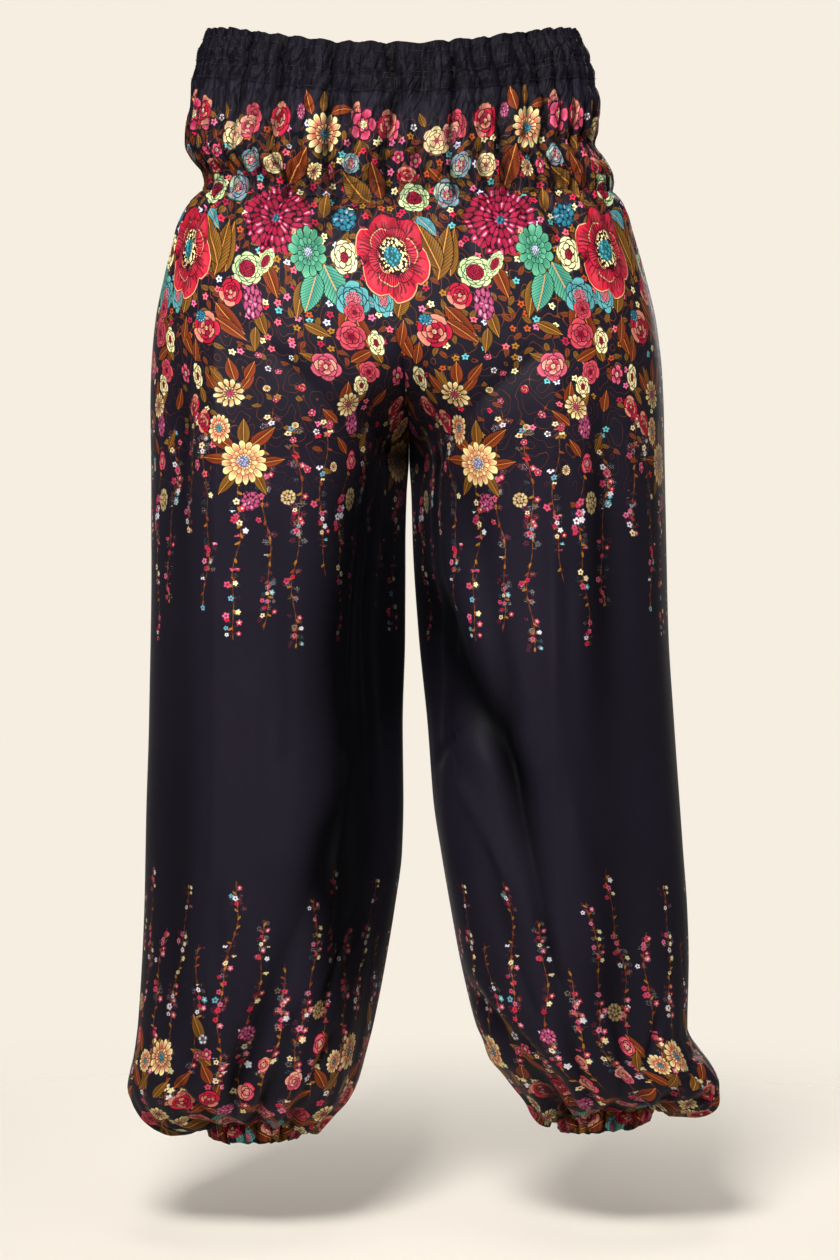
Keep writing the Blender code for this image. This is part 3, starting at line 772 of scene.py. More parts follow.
@dataclass(frozen=True)
class TrunkForm:
    """The form of the trunk above the seat, without its gathers."""

    squareness: float = 2.25
    track: Track = field(default_factory=lambda: Track.through([g.drop for g in TRUNK], TRUNK))

    def patch(self, face: Face, u: Array, drops: Array) -> Patch:
        """A patch of one half.

        Args:
            face: The half.
            u: Places across, from the left side seam to the right one.
            drops: Drops of its rows.

        Returns:
            The patch.
        """
        turn = ((u - 0.5) * pi)[None, :]
        girth = self.track.named(Girth, drops)
        reach = np.where(turn > 0.0, girth.right, girth.left)
        depth = girth.back if face is Face.BACK else girth.front
        x = girth.centre * np.cos(turn) + reach * rounded(np.sin(turn), self.squareness)
        y = np.maximum(depth * rounded(np.cos(turn), self.squareness), SEAM_GAP / 2)
        drop = np.broadcast_to(drops[:, None], x.shape)
        z = -drop - DIP.at(drop, turn, face)
        points = np.stack([x, y * face.value, z], axis=2)
        spread = np.broadcast_to(u[None, :], x.shape)
        return Patch(points, spread, np.abs(spread * 2 - 1), drop, drop)

    def gather(self, drops: Array) -> Array:
        """The height of the gathers at some drops, as a column."""
        return self.track.named(Girth, drops).gather


@dataclass(frozen=True)
class LegForm:
    """The form of one side below the hip band, without its folds."""

    side: Side
    cuff_centre: float
    track: Track
    inner_squareness: float = 2.5     # of the quarter next to the inseam

    @classmethod
    def of_side(cls, side: Side, cuff_centre: float) -> LegForm:
        """The form of a side, with its sections spaced by the length of the cloth between them.

        Args:
            side: The side.
            cuff_centre: Distance of the ankle's middle from the trousers' axis.

        Returns:
            The form.
        """
        right = side is Side.RIGHT
        seat = [Section(s.drop, s.right if right else s.left, side.value * s.centre, s.back, s.front,
                        wrap=s.wrap, squareness=s.squareness) for s in SEAT]
        rows = np.array([*seat, *(Section(*row) for row in LEG_SECTIONS[side])], float)
        rows[0, 0] += SEAM_GAP
        rows[-1, 0] -= SEAM_GAP
        bare = cls(side, cuff_centre, Track.through(range(len(rows)), rows))
        shares = np.linspace(0.1, 0.9, 9)
        loops = [bare.patch(face, shares, np.arange(len(rows), dtype=float)).points for face in Face]
        gaps = [np.linalg.norm(np.diff(loop, axis=0), axis=2).mean(axis=1) for loop in loops]
        steps = np.mean(gaps, axis=0)
        lengths = np.concatenate([[rows[0, 0]], rows[0, 0] + np.cumsum(steps)])
        return cls(side, cuff_centre, Track.through(lengths, rows))

    @property
    def end(self) -> float:
        """The cloth's length down to the ankle casing."""
        return float(self.track.places[-1])

    def patch(self, face: Face, shares: Array, lengths: Array) -> Patch:
        """A patch of one panel.

        Args:
            face: The half that it belongs to.
            shares: Places across, 0 at the centre seam or inseam and 1 at the side seam; one row for
                all lengths or a row for each.
            lengths: How far down the cloth each row is.

        Returns:
            The patch.
        """
        at = self.track.named(Section, lengths)
        share = np.broadcast_to(shares, (len(lengths), np.shape(shares)[-1]))
        depth = at.back if face is Face.BACK else at.front
        peak, peak_x = at.wrap / 2, at.inner + (at.outer - at.inner) * at.wrap / 2
        outside = share >= peak
        turn_out = np.clip((share - peak) / (1.0 - peak), 0.0, 1.0) * pi / 2
        swing = np.maximum(at.wrap * pi / 2, 1e-6)
        turn_in = np.clip(1.0 - share / np.maximum(peak, 1e-6), 0.0, 1.0) * swing
        x_out = peak_x + (at.outer - peak_x) * rounded(np.sin(turn_out), at.squareness)
        inward = rounded(np.sin(turn_in), self.inner_squareness)
        x_in = peak_x - (peak_x - at.inner) * inward / rounded(np.sin(swing), self.inner_squareness)
        x = np.where(outside, x_out, x_in)
        y = np.where(outside, rounded(np.cos(turn_out), at.squareness),
                     rounded(np.cos(turn_in), self.inner_squareness)) * depth
        y = np.maximum(y, SEAM_GAP / 2)
        z = (-at.drop - DIP.at(at.drop, share * pi / 2, face) - at.tilt * (x - self.cuff_centre)
             + at.lift * np.sin(share * pi) ** 2)
        points = np.stack([x * self.side.value, y * face.value, z], axis=2)
        u = 0.5 + self.side.value * share / 2
        length = np.broadcast_to(np.asarray(lengths, float)[:, None], x.shape)
        return Patch(points, u, share, np.broadcast_to(at.drop, x.shape), length)

    def even_shares(self, face: Face, lengths: Array, columns: int) -> Array:
        """Shares that stand at even distances along each row's loop.

        Args:
            face: The half.
            lengths: How far down the cloth each row is.
            columns: How many shares each row gets.

        Returns:
            A row of shares for each length.
        """
        fine = 0.5 - 0.5 * np.cos(np.linspace(0.0, pi, 201))
        runs = run_along(self.patch(face, fine, lengths).points)
        wanted = np.linspace(0.0, 1.0, columns)
        return np.stack([np.interp(wanted * run[-1], run, fine) for run in runs])


@dataclass(frozen=True)
class Gathers:
    """Gathers that an elastic draws up: broad ones, finer ones between them, and slanting creases."""

    columns: int = 48         # ridges and hollows together, across one half
    fine: float = 2.6         # finer folds to one column pair
    wander: float = 0.010     # how far they stray sideways, as a share of the half
    sharpness: float = 0.55   # below 1 the hollows are narrower than the ridges
    sag: float = 0.30         # how far a fold that stands out also hangs down
    usual: float = 3.4        # height of the broad ones at which the finer ones are 1 mm high
    sewn_reach: float = 4.5   # how far from a sewn row it holds the cloth tight

    def broad(self, u: Array) -> Array:
        """The broad gathers, with uneven steps and heights.

        Args:
            u: Places across the half.

        Returns:
            Values from -1 in a hollow to 1 on a ridge.
        """
        columns = np.arange(self.columns + 1)
        shift = np.where((columns > 0) & (columns < self.columns), 0.22 * np.sin(1.9 * columns + 0.4), 0.0)
        uneven = 0.55 + 0.45 * np.abs(np.sin(2.4 * columns + 0.7))
        wave = Track.through((columns + shift) / self.columns, np.where(columns % 2, 1.0, -1.0) * uneven)
        return crested(wave.at(np.clip(u, 0.0, 1.0))[..., 0], self.sharpness)

    def height(self, patch: Patch, face: Face, amplitude: Array) -> Array:
        """How far the gathers lift each point of a patch.

        Args:
            patch: The points.
            face: The half of the garment.
            amplitude: Height of the broad gathers at each point.

        Returns:
            Heights in millimetres.
        """
        u, drop = patch.u, patch.drop
        seed = 3.0 if face is Face.BACK else 11.0
        stray = self.wander * drift(u * 14, drop / 26.0, seed) * np.sin(pi * u) ** 0.5
        broad = self.broad(u + stray)
        slant = u + stray * 1.6 + 0.0035 * drift(u * 9, drop / 17.0, seed + 1)
        bend = 2.4 * drift(u * 12, drop / 40.0, seed + 2)
        narrow = 2.0 * np.abs(np.sin(pi * self.columns * self.fine * slant / 2 + bend)) ** 0.7 - 1.0
        narrow *= 0.55 + 0.45 * drift(u * 31, drop / 11.0, seed + 3)
        ridged = 1.0 - 2.0 * np.abs(drift(u * 62 + drop / 38.0, drop / 21.0, seed + 4))
        ridged = -np.maximum(0.0, ridged - 0.45) * 2.6
        tight = np.max([np.exp(-(((drop - row) / self.sewn_reach) ** 2)) for row in SEAM_ROWS], axis=0)
        pucker = np.sin(pi * self.columns * 2.1 * (u + stray)) * tight * 0.7
        strength = amplitude / self.usual
        return (amplitude * (0.95 - 0.06 * tight) * broad + strength * narrow
                + 0.9 * strength * ridged + pucker * strength)


def crease_height(patch: Patch, face: Face) -> Array:
    """The sum of the listed creases at each point of one face.

    Args:
        patch: The points.
        face: The face that they are on.

    Returns:
        Heights in millimetres.
    """
    x, drop = patch.points[..., 0], patch.drop
    total = np.zeros_like(x)
    for number, crease in enumerate(CREASES):
        if crease.face is not face:
            continue
        run_x, run_drop = crease.to_x - crease.from_x, crease.to_drop - crease.from_drop
        length = float(np.hypot(run_x, run_drop))
        along = ((x - crease.from_x) * run_x + (drop - crease.from_drop) * run_drop) / length**2
        held = np.clip(along, 0.0, 1.0)
        beyond = np.maximum(np.maximum(-along, along - 1.0), 0.0) * length
        aside = ((x - crease.from_x) * run_drop - (drop - crease.from_drop) * run_x) / length
        aside = aside - crease.bow * 4.0 * held * (1.0 - held)
        width = crease.width * (0.85 + 0.3 * np.sin(held * 4.1 + number))
        q = aside / width
        depth = crease.height * (0.82 + 0.18 * np.sin(held * 7.3 + 1.7 * number))
        soft = np.exp(-(q**2)) * (1.0 - 0.45 * q**2)
        sharp = np.exp(-1.5 * np.abs(q))
        profile = soft * (1.0 - crease.crisp) + sharp * crease.crisp
        total += depth * profile * np.exp(-((beyond / (1.8 * crease.width)) ** 2))
    return total


@dataclass(frozen=True)
class Cloth:
    """Cloth made from a grid: how thick it is and at what angle its shading turns sharp."""

    thickness: float = 0.7
    smooth_below: float = 66.0    # degrees between two faces; the cut edges are sharper

    def build(self, name: str, points: Array, outward: float, closed: bool = False) -> bpy.types.Object:
        """A sheet through a grid of points.

        Args:
            name: Name of the piece.
            points: Rows by columns, in millimetres.
            outward: 1 or -1, as the columns run, so that faces look outward.
            closed: Whether the last column meets the first.

        Returns:
            The piece, as a single skin.
        """
        rows, columns = points.shape[:2]
        index = np.arange(rows * columns).reshape(rows, columns)
        right = np.roll(index, -1, axis=1) if closed else index[:, 1:]
        left = index if closed else index[:, :-1]
        quads = np.stack([left[:-1], left[1:], right[1:], right[:-1]], axis=2).reshape(-1, 4)
        if outward < 0:
            quads = quads[:, ::-1]
        mesh = bpy.data.meshes.new(name)
        mesh.vertices.add(rows * columns)
        mesh.vertices.foreach_set("co", (points.reshape(-1, 3) * MM).astype(np.float32).ravel())
        mesh.loops.add(quads.size)
        mesh.loops.foreach_set("vertex_index", quads.ravel().astype(np.int32))
        mesh.polygons.add(len(quads))
        mesh.polygons.foreach_set("loop_start", np.arange(0, quads.size, 4, dtype=np.int32))
        mesh.update(calc_edges=True)
        mesh.validate()
        mesh.shade_smooth()
        piece = bpy.data.objects.new(name, mesh)
        bpy.context.scene.collection.objects.link(piece)
        return piece

    def shade_hollows(self, piece: bpy.types.Object, hollows: Array) -> None:
        """Mark how deep each point lies between folds, for the painted shade that the material puts there.

        Args:
            piece: A grid of quads.
            hollows: How much painted shade each point gets, from 0 on a ridge to 1 at the bottom of a deep
                fold.
        """
        made = piece.data.attributes.new("hollow", "FLOAT", "POINT")
        made.data.foreach_set("value", np.clip(hollows, 0.0, 1.0).astype(np.float32).ravel())

    def thicken(self, piece: bpy.types.Object) -> None:
        """Give a skin its thickness, inward from its outer side.

        Args:
            piece: The skin.
        """
        select_only(piece)
        solid = piece.modifiers.new("thickness", "SOLIDIFY")
        solid.thickness = self.thickness * MM
        solid.offset = -1.0
        solid.use_even_offset = False
        solid.material_offset = 1
        solid.material_offset_rim = 0
        bpy.ops.object.modifier_apply(modifier=solid.name)
        bpy.ops.object.shade_smooth_by_angle(angle=radians(self.smooth_below))
        piece.select_set(False)

    def finish(self, piece: bpy.types.Object, node: str, slot: str, hollows: Array,
               cut: tuple[float, float]) -> bpy.types.Object:
        """Mark a dressed piece's painted shade, thicken it, hide the solid that it replaces and attach it
        to the root.

        Args:
            piece: The piece, still a single skin.
            node: The solid that it replaces.
            slot: The solid's material slot; not used.
            hollows: How much painted shade each point gets, from 0 on a ridge to 1 at the bottom of a deep
                fold.
            cut: Its area in square millimetres and its cut length down the cloth in millimetres; not used.

        Returns:
            The piece.
        """
        self.shade_hollows(piece, hollows)
        self.thicken(piece)
        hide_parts(node)
        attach(piece, "root")
        return piece


def deselect() -> None:
    """Leave nothing selected."""
    for item in bpy.context.selected_objects:
        item.select_set(False)


def select_only(piece: bpy.types.Object) -> None:
    """Select one piece and make it the active one.

    Args:
        piece: The piece.
    """
    deselect()
    piece.select_set(True)
    bpy.context.view_layer.objects.active = piece


def layered(patch: Patch, lift: Array, face: Face, insets: Array) -> Array:
    """The points of a strip moved out by their folds and in by the layer that each row is on.

    Args:
        patch: The form.
        lift: How far the folds lift each point.
        face: The half that it belongs to.
        insets: How far inside the outer layer each row lies.

    Returns:
        The moved points.
    """
    across = np.gradient(patch.points, axis=1)
    level = unit(np.stack([-across[..., 1], across[..., 0], np.zeros_like(lift)], axis=2) * face.value)
    return patch.points + level * (lift - insets[:, None])[..., None]


@dataclass(frozen=True)
class FoldedEdge:
    """How an edge of cloth turns over and runs back inside."""

    radius: float = 1.1
    steps: int = 7

    def rows(self, start: float, turn_at: float, spacing: float) -> tuple[Array, Array]:
        """Rows from the outer layer's far edge, round the turned edge, and back inside.

        Args:
            start: Drop of the far edge.
            turn_at: Drop of the turned edge.
            spacing: Between the rows.

        Returns:
            The drop of each row, and how far inside the outer layer it lies.
        """
        way = 1.0 if turn_at > start else -1.0
        bend = turn_at - way * self.radius
        count = max(3, int(abs(bend - start) / spacing) + 1)
        outer = np.linspace(start, bend, count)
        angles = np.linspace(0.0, pi, self.steps + 1)[1:]
        roll = bend + way * self.radius * np.sin(angles)
        back = np.linspace(bend, start, count)[1:]
        drops = np.concatenate([outer, roll, back])
        insets = np.concatenate([np.zeros(count), self.radius * (1.0 - np.cos(angles)),
                                 np.full(count - 1, 2.0 * self.radius)])
        return drops, insets


@dataclass
class TrunkStrip:
    """A strip round the trunk in two halves: a casing, a channel, the yoke or the hip band."""

    name: str
    top: float
    bottom: float
    spacing: float
    slot: str
    turned: bool = False
    columns: int = 300
    crown_reach: float = 9.0      # how far below its turned edge the gathers scallop it
    overshoot: float = 1.2        # past this above its top the scallops are held down
    form: TrunkForm = field(default_factory=TrunkForm)
    gathers: Gathers = field(default_factory=Gathers)
    cloth: Cloth = field(default_factory=Cloth)

    def rows(self) -> tuple[Array, Array]:
        """The strip's rows.

        Returns:
            The drop of each row, and how far inside the outer layer it lies.
        """
        top, bottom = self.top + SEAM_GAP / 2, self.bottom - SEAM_GAP / 2
        if self.turned:
            return FoldedEdge().rows(bottom, top, self.spacing)
        count = max(3, int((bottom - top) / self.spacing) + 1)
        return np.linspace(top, bottom, count), np.zeros(count)

    def half(self, face: Face, printing: Print) -> bpy.types.Object:
        """One half of the strip.

        Args:
            face: The half.
            printing: What draws on it.

        Returns:
            The finished piece.
        """
        drops, insets = self.rows()
        patch = self.form.patch(face, np.linspace(0.0, 1.0, self.columns), drops)
        lift = self.lift(patch, face)
        points = self.folded(patch, lift, face, insets)
        if self.turned:
            near_top = eased(1.0 - (drops - self.top) / self.crown_reach)[:, None]
            points[..., 2] += near_top * (0.30 * lift + 0.5 * drift(patch.u * 40, 0 * patch.u, 8.0))
            over = np.maximum(0.0, points[..., 2] - (self.overshoot - self.top))
            points[..., 2] -= over * 0.7
        node = f"{self.name}_{face.name.lower()}"
        outward = float(face.value if self.turned else -face.value)
        piece = self.cloth.build(f"{node}_cloth", points, outward)
        places = printing.repeat.on_strip(patch, face)
        if self.slot == "casing_cloth":
            printing.draw_plain(piece, patch.length, places)
        else:
            printing.draw(piece, patch.length, places, printing.repeat.width(patch.length))
        # painted shade in the hollows of the gathers, from how far they sink
        hollows = 0.16 - 1.15 * lift / (self.amplitude(patch) + 0.3)
        return self.cloth.finish(piece, node, self.slot, hollows, (flat_area(points), cut_length(drops)))

    def line(self, face: Face, u: Array, drop: float) -> Array:
        """A level line on the strip's outer side.

        Args:
            face: The half.
            u: Places across.
            drop: Its drop.

        Returns:
            A point for each place.
        """
        patch = self.form.patch(face, u, np.array([drop]))
        return self.folded(patch, self.lift(patch, face), face, np.zeros(1))[0]

    def folded(self, patch: Patch, lift: Array, face: Face, insets: Array) -> Array:
        """A layered strip whose folds also hang; see layered."""
        points = layered(patch, lift, face, insets)
        points[..., 2] += self.gathers.sag * lift
        return points

    def lift(self, patch: Patch, face: Face) -> Array:
        """How far the gathers and the uneven pull of the elastic lift each point."""
        height = self.gathers.height(patch, face, self.amplitude(patch))
        return height + uneven_pull(patch, face)

    def amplitude(self, patch: Patch) -> Array:
        """Height of the gathers, less at the side seams."""
        within = np.clip(patch.u[0], 0.012, 0.988)
        return self.form.gather(patch.drop[:, 0]) * np.sin(pi * within)[None, :] ** 0.12


def uneven_pull(patch: Patch, face: Face) -> Array:
    """How far the elastic's uneven pull lifts each point, in millimetres."""
    return 0.9 * drift(patch.u * 7, patch.drop / 70.0, 5.0 + face.value)


def flat_area(points: Array) -> float:
    """The area of a grid, in square millimetres."""
    down, across = points[1:, :-1] - points[:-1, :-1], points[:-1, 1:] - points[:-1, :-1]
    return float(np.linalg.norm(np.cross(down, across), axis=2).sum())


def cut_length(drops: Array) -> float:
    """The length down the cloth of rows that turn back, with 2 mm for the turn itself."""
    return float(np.abs(np.diff(drops)).sum() + 2.0)


@dataclass
class LegPanel:
    """One leg panel, from the hip band to its ankle casing."""

    form: LegForm
    face: Face
    columns: int = 124
    spacing: float = 3.4
    hip_fade: float = 62.0        # length over which the hip band's gathers run out
    pleats: int = 4
    pleat_height: float = 1.7
    pleat_fade: float = 100.0
    ankle_pairs: float = 6.0
    ankle_height: float = 4.0
    ankle_fade: float = 34.0      # length above the ankle over which its folds are whole
    slack: float = 1.5            # height of the broad unevenness of loose cloth
    fine_slack: float = 0.42
    seam_ridge: float = 0.55      # of the cloth beside the centre seam and the inseam
    under_shade: float = 0.60     # painted shade on the cloth that turns under above the ankle: how dark it is
    trunk: TrunkForm = field(default_factory=TrunkForm)
    gathers: Gathers = field(default_factory=Gathers)
    cloth: Cloth = field(default_factory=Cloth)

    def lift(self, patch: Patch) -> Array:
        """How far folds, gathers and puckers lift each point.

        Args:
            patch: The points.

        Returns:
            Heights in millimetres.
        """
        share = patch.share
        below, above = patch.length - patch.length[0, 0], patch.length[-1, 0] - patch.length
        seam = eased(share / 0.045) * eased((1.0 - share) / 0.045)
        wide_seam = eased(share / 0.12) * eased((1.0 - share) / 0.12)
        hip = float(self.trunk.gather(np.array([LEG_TOP]))[0, 0])
        reach = self.hip_fade * (0.85 + 0.35 * drift(patch.u * 15, 0 * patch.u, 21.0 + self.face.value))
        fade = np.exp(-((below / reach) ** 1.5))
        swell = 1.0 + 0.55 * eased(below / 16.0)
        total = self.gathers.height(patch, self.face, hip * swell * fade)
        total += uneven_pull(patch, self.face) * fade
        total *= np.maximum(seam, np.exp(-below / 12.0))
        pleats = np.sin(tau * self.pleats * share + 1.2 * drift(share * 5, below / 60.0, 4.0))
        run_out = np.exp(-((below / self.pleat_fade) ** 2))
        total += self.pleat_height * pleats * run_out * wide_seam * eased(below / 14.0)
        total += crease_height(patch, self.face) * wide_seam
        seed = self.form.side.value * 3.0 + self.face.value
        x, z = patch.points[..., 0], patch.points[..., 2]
        total += self.slack * drift(x / 62.0, z / 150.0, 31.0 + seed) * wide_seam
        total += self.fine_slack * drift(x / 21.0 + z / 160.0, z / 74.0, 35.0 + seed) * seam
        reach = 50.0 + 30.0 * drift(share * 8, 0 * above, 45.0 + seed)
        gather = np.exp(-((np.maximum(0.0, above - self.ankle_fade) / reach) ** 1.3))
        calm = eased(above / 14.0) * 0.75 + 0.25
        wave = share + 0.012 * drift(share * 9, above / 30.0, 41.0 + seed)
        phase = tau * self.ankle_pairs * wave + 0.9 * drift(share * 6, 0 * above, 43.0 + seed)
        uneven = 0.72 + 0.28 * drift(share * 11, above / 40.0, 44.0 + seed)
        total += self.ankle_height * crested(np.sin(phase), 0.6) * uneven * gather * calm * wide_seam
        total += 0.30 * self.ankle_height * np.sin(phase * 2.7 + 1.0) * gather * calm * seam
        total += self.seam_ridge * np.exp(-(((share - 0.016) / 0.010) ** 2)) * eased(below / 20.0)
        return total

    def hollows(self, patch: Patch, lift: Array) -> Array:
        """How much painted shade each point gets: in the gathers near the hip and the ankle, in the troughs
        of the creases, and on the cloth that turns under above the ankle.

        Args:
            patch: The points.
            lift: How far the folds lift each.

        Returns:
            From 0 on a ridge to 1 in a deep hollow or on the cloth turned under.
        """
        # painted shade: darker in the gathers, in the creases' troughs, and on the cloth that turns under
        # above the ankle, away from the light
        near_hip = np.exp(-(((patch.length - patch.length[0, 0]) / 45.0) ** 1.5))
        near_ankle = np.exp(-(((patch.length[-1, 0] - patch.length) / 60.0) ** 1.5))
        gathered = np.maximum(near_hip, near_ankle * 0.8)
        deep = -crease_height(patch, self.face) / 15.0
        under = self.under_shade * eased((patch.length - patch.length[-1, 0] + 84.0) / 60.0)
        folded = gathered * (0.20 - 0.80 * lift / 4.0) + (1.0 - gathered) * np.maximum(deep, -lift / 26.0)
        return np.maximum(folded, under) + 0.3 * np.clip(np.minimum(folded, under), 0.0, 1.0)

    def keep_to_side(self, points: Array, drop: Array) -> None:
        """Keep the folds of a panel from crossing into the other side or the other half.

        Args:
            points: The panel's points, which are moved.
            drop: Drop of each.
        """
        side = self.form.side
        plane = np.interp(drop, [s.drop for s in SEAT], [s.centre for s in SEAT])
        limit = plane + side.value * SEAM_GAP / 2
        nearest = np.maximum if side is Side.RIGHT else np.minimum
        points[..., 0] = nearest(points[..., 0], limit)
        points[..., 1] = self.face.value * np.maximum(points[..., 1] * self.face.value, SEAM_GAP / 2)

    def build(self, printing: Print) -> bpy.types.Object:
        """The panel, dressed.

        Args:
            printing: What draws on it.

        Returns:
            The finished piece.
        """
        side, face = self.form.side, self.face
        start = float(self.form.track.places[0])
        length = self.form.end - start
        lengths = np.linspace(start, self.form.end, int(length / self.spacing) + 2)
        patch = self.form.patch(face, self.form.even_shares(face, lengths, self.columns), lengths)
        outward = float(-side.value * face.value)
        lift = self.lift(patch)
        points = patch.points + patch.normals(outward) * lift[..., None]
        points[0, :, 2] = patch.points[0, :, 2] + self.gathers.sag * lift[0]
        points[-1, :, 2] = patch.points[-1, :, 2]
        self.keep_to_side(points, patch.drop)
        node = f"leg_{face.name.lower()}_{side.name.lower()}"
        piece = self.cloth.build(f"{node}_cloth", points, outward)
        places, widths = printing.repeat.on_leg(patch, face, side)
        printing.draw(piece, patch.length, places, widths)
        hollows = self.hollows(patch, lift)
        return self.cloth.finish(piece, node, "printed_cloth", hollows, (flat_area(points), length))


@dataclass
class AnkleCasing:
    """A gathered casing round an ankle, turned up inside at its lower edge."""

    side: Side
    centre: float
    top: float
    tilt: float
    width: float = 80.0
    depth: float = 94.0
    height: float = 20.0
    crown: float = 1.2        # how far its middle stands out and its lower edge is scalloped
    pucker: float = 3.2
    gathers: int = 19
    columns: int = 336
    repeats: int = 3          # of the print, round the casing
    print_from: float = 1012.0    # length of cloth above it, at which its print starts
    spacing: float = 1.9
    cloth: Cloth = field(default_factory=Cloth)

    def lift(self, turn: Array, share: Array, column: Array, stray: Array) -> Array:
        """How far the gathers lift each point.

        Args:
            turn: How far round it is.
            share: How far down the casing it is, from 0 to 1.
            column: How many ridges and hollows round it is.
            stray: How far the gathers stray sideways there.

        Returns:
            Heights in millimetres.
        """
        wave = -np.cos(pi * (column + stray))
        loose = eased((share - 0.55) / 0.4)
        wave = crested(wave, 0.5) * (1.0 - loose) + 0.75 * wave * loose
        fine = np.sin(pi * column * 2.4 + 2.0 * drift(turn * 9, share * 3, 53.0))
        tight = np.exp(-(((share - 0.08) / 0.12) ** 2)) + np.exp(-(((share - 0.82) / 0.14) ** 2))
        return (self.crown * np.sin(pi * np.clip(share, 0, 1))
                + self.pucker * self.uneven(column) * wave * (1 - 0.35 * tight)
                + 0.5 * fine * (0.4 + 0.6 * tight))

    def uneven(self, column: Array) -> Array:
        """The share of the full height that each gather has."""
        return 0.62 + 0.38 * np.abs(np.sin(2.4 * np.round(column) + 0.7))

    def build(self, printing: Print) -> bpy.types.Object:
        """The casing, dressed.

        Args:
            printing: What draws on it.

        Returns:
            The finished piece.
        """
        downs, insets = FoldedEdge(radius=1.0).rows(0.0, self.height, self.spacing)
        turn = (np.linspace(0.0, tau, self.columns + 1)[:-1])[None, :]
        share = (downs / self.height)[:, None]
        column = turn / tau * 2 * self.gathers
        stray = 0.75 * drift(turn * 5, share * 1.6, 51.0 + self.side.value) + 0.5 * np.sin(turn * 3) * share
        lift = self.lift(turn, share, column, stray) - insets[:, None]
        x = self.centre + (self.width / 2 + lift) * np.cos(turn)
        y = (self.depth / 2 + lift) * np.sin(turn)
        dips = self.crown * np.cos(pi * (column + stray)) * self.uneven(column)
        scallop = (self.crown * drift(turn * 3, 0 * turn, 57.0) - dips) * eased((share - 0.2) * 1.4)
        z = -self.top - downs[:, None] - self.tilt * (x - self.centre) + scallop
        points = np.stack([x * self.side.value, y, np.broadcast_to(z, x.shape)], axis=2)
        node = f"cuff_{self.side.name.lower()}"
        piece = self.cloth.build(f"{node}_cloth", points, float(self.side.value), closed=True)
        lengths = np.broadcast_to(self.print_from + downs[:, None], x.shape)
        places = np.broadcast_to(turn / tau * self.repeats, x.shape)
        printing.draw(piece, lengths, places, np.full(x.shape, pi * self.depth / self.repeats))
        # painted shade in the hollows of the casing's gathers
        hollows = 0.5 - 0.5 * (lift + insets[:, None] - self.crown * 0.6) / self.pucker
        area = flat_area(np.concatenate([points, points[:, :1]], axis=1))
        return self.cloth.finish(piece, node, "casing_cloth", hollows, (area, cut_length(downs)))


@dataclass
class StitchRow:
    """Rows of machine stitches that sink into the gathers of one half of a strip."""

    strip: TrunkStrip
    drops: tuple[float, ...]
    pitch: float = 3.0
    length: float = 2.3
    thickness: float = 0.55
    columns: int = 1400           # places at which a row's line is worked out
    ends: float = 0.004           # share of the half left free at each end
    proud: float = 0.2            # how far a stitch stands out, as a share of its thickness

    def template(self) -> tuple[Array, Array]:
        """One stitch along X.

        Returns:
            Its points and its triangles.
        """
        deselect()
        bpy.ops.mesh.primitive_cylinder_add(vertices=6, radius=0.5, depth=1.0, rotation=(0.0, pi / 2, 0.0))
        made = bpy.context.active_object
        bpy.ops.object.transform_apply(location=False, rotation=True, scale=False)
        bpy.ops.object.mode_set(mode="EDIT")
        bpy.ops.mesh.select_mode(type="FACE")
        bpy.ops.mesh.select_all(action="DESELECT")
        bpy.ops.object.mode_set(mode="OBJECT")
        for face in made.data.polygons:
            face.select = abs(face.normal.x) > 0.9
        bpy.ops.object.mode_set(mode="EDIT")
        bpy.ops.mesh.inset(thickness=0.14, depth=0.12)
        bpy.ops.mesh.quads_convert_to_tris()
        bpy.ops.object.mode_set(mode="OBJECT")
        mesh = made.data
        mesh.validate()
        faces = [list(face.vertices) for face in mesh.polygons]
        points = np.array([vertex.co[:] for vertex in mesh.vertices])
        bpy.data.objects.remove(made)
        triangles = [[face[0], face[i], face[i + 1]] for face in faces for i in range(1, len(face) - 1)]
        return points * (self.length, self.thickness, self.thickness), np.array(triangles)

    def build(self, face: Face, thread: bpy.types.Material) -> bpy.types.Object:
        """The rows on one half, as one piece.

        Args:
            face: The half.
            thread: What they are made of.

        Returns:
            The piece.
        """
        shape, triangles = self.template()
        x, y, z = shape[None, :, 0:1], shape[None, :, 1:2], shape[None, :, 2:3]
        points, faces = [], []
        for drop in self.drops:
            line = self.strip.line(face, np.linspace(self.ends, 1.0 - self.ends, self.columns), drop)
            run = run_along(line)
            wanted = np.arange(self.pitch, run[-1] - self.pitch, self.pitch)
            centre, beside = (np.stack([np.interp(at, run, axis) for axis in line.T], axis=1)
                              for at in (wanted, wanted + 0.8))
            ahead = unit(beside - centre)
            out = unit(np.stack([-ahead[:, 1], ahead[:, 0], np.zeros(len(ahead))], axis=1) * face.value)
            rise = np.cross(ahead, out)
            centre, ahead, out, rise = (part[:, None, :] for part in (centre, ahead, out, rise))
            placed = centre + x * ahead + z * rise + (y + self.thickness * self.proud) * out
            offsets = len(shape) * np.arange(len(placed)) + sum(len(p) for p in points)
            faces.append((triangles[None] + offsets[:, None, None]).reshape(-1, 3))
            points.append(placed.reshape(-1, 3))
        name = f"{self.strip.name}_stitches_{face.name.lower()}"
        mesh = bpy.data.meshes.new(name)
        mesh.from_pydata((np.concatenate(points) * MM).tolist(), [], np.concatenate(faces).tolist())
        mesh.validate()
        mesh.materials.append(thread)
        piece = bpy.data.objects.new(name, mesh)
        bpy.context.scene.collection.objects.link(piece)
        make_faces_look_out(piece)
        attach(piece, "root")
        return piece


def make_faces_look_out(piece: bpy.types.Object) -> None:
    """Turn every face of a closed piece outward.

    Args:
        piece: The piece.
    """
    select_only(piece)
    bpy.ops.object.mode_set(mode="EDIT")
    bpy.ops.mesh.select_all(action="SELECT")
    bpy.ops.mesh.normals_make_consistent(inside=False)
    bpy.ops.object.mode_set(mode="OBJECT")
    piece.select_set(False)


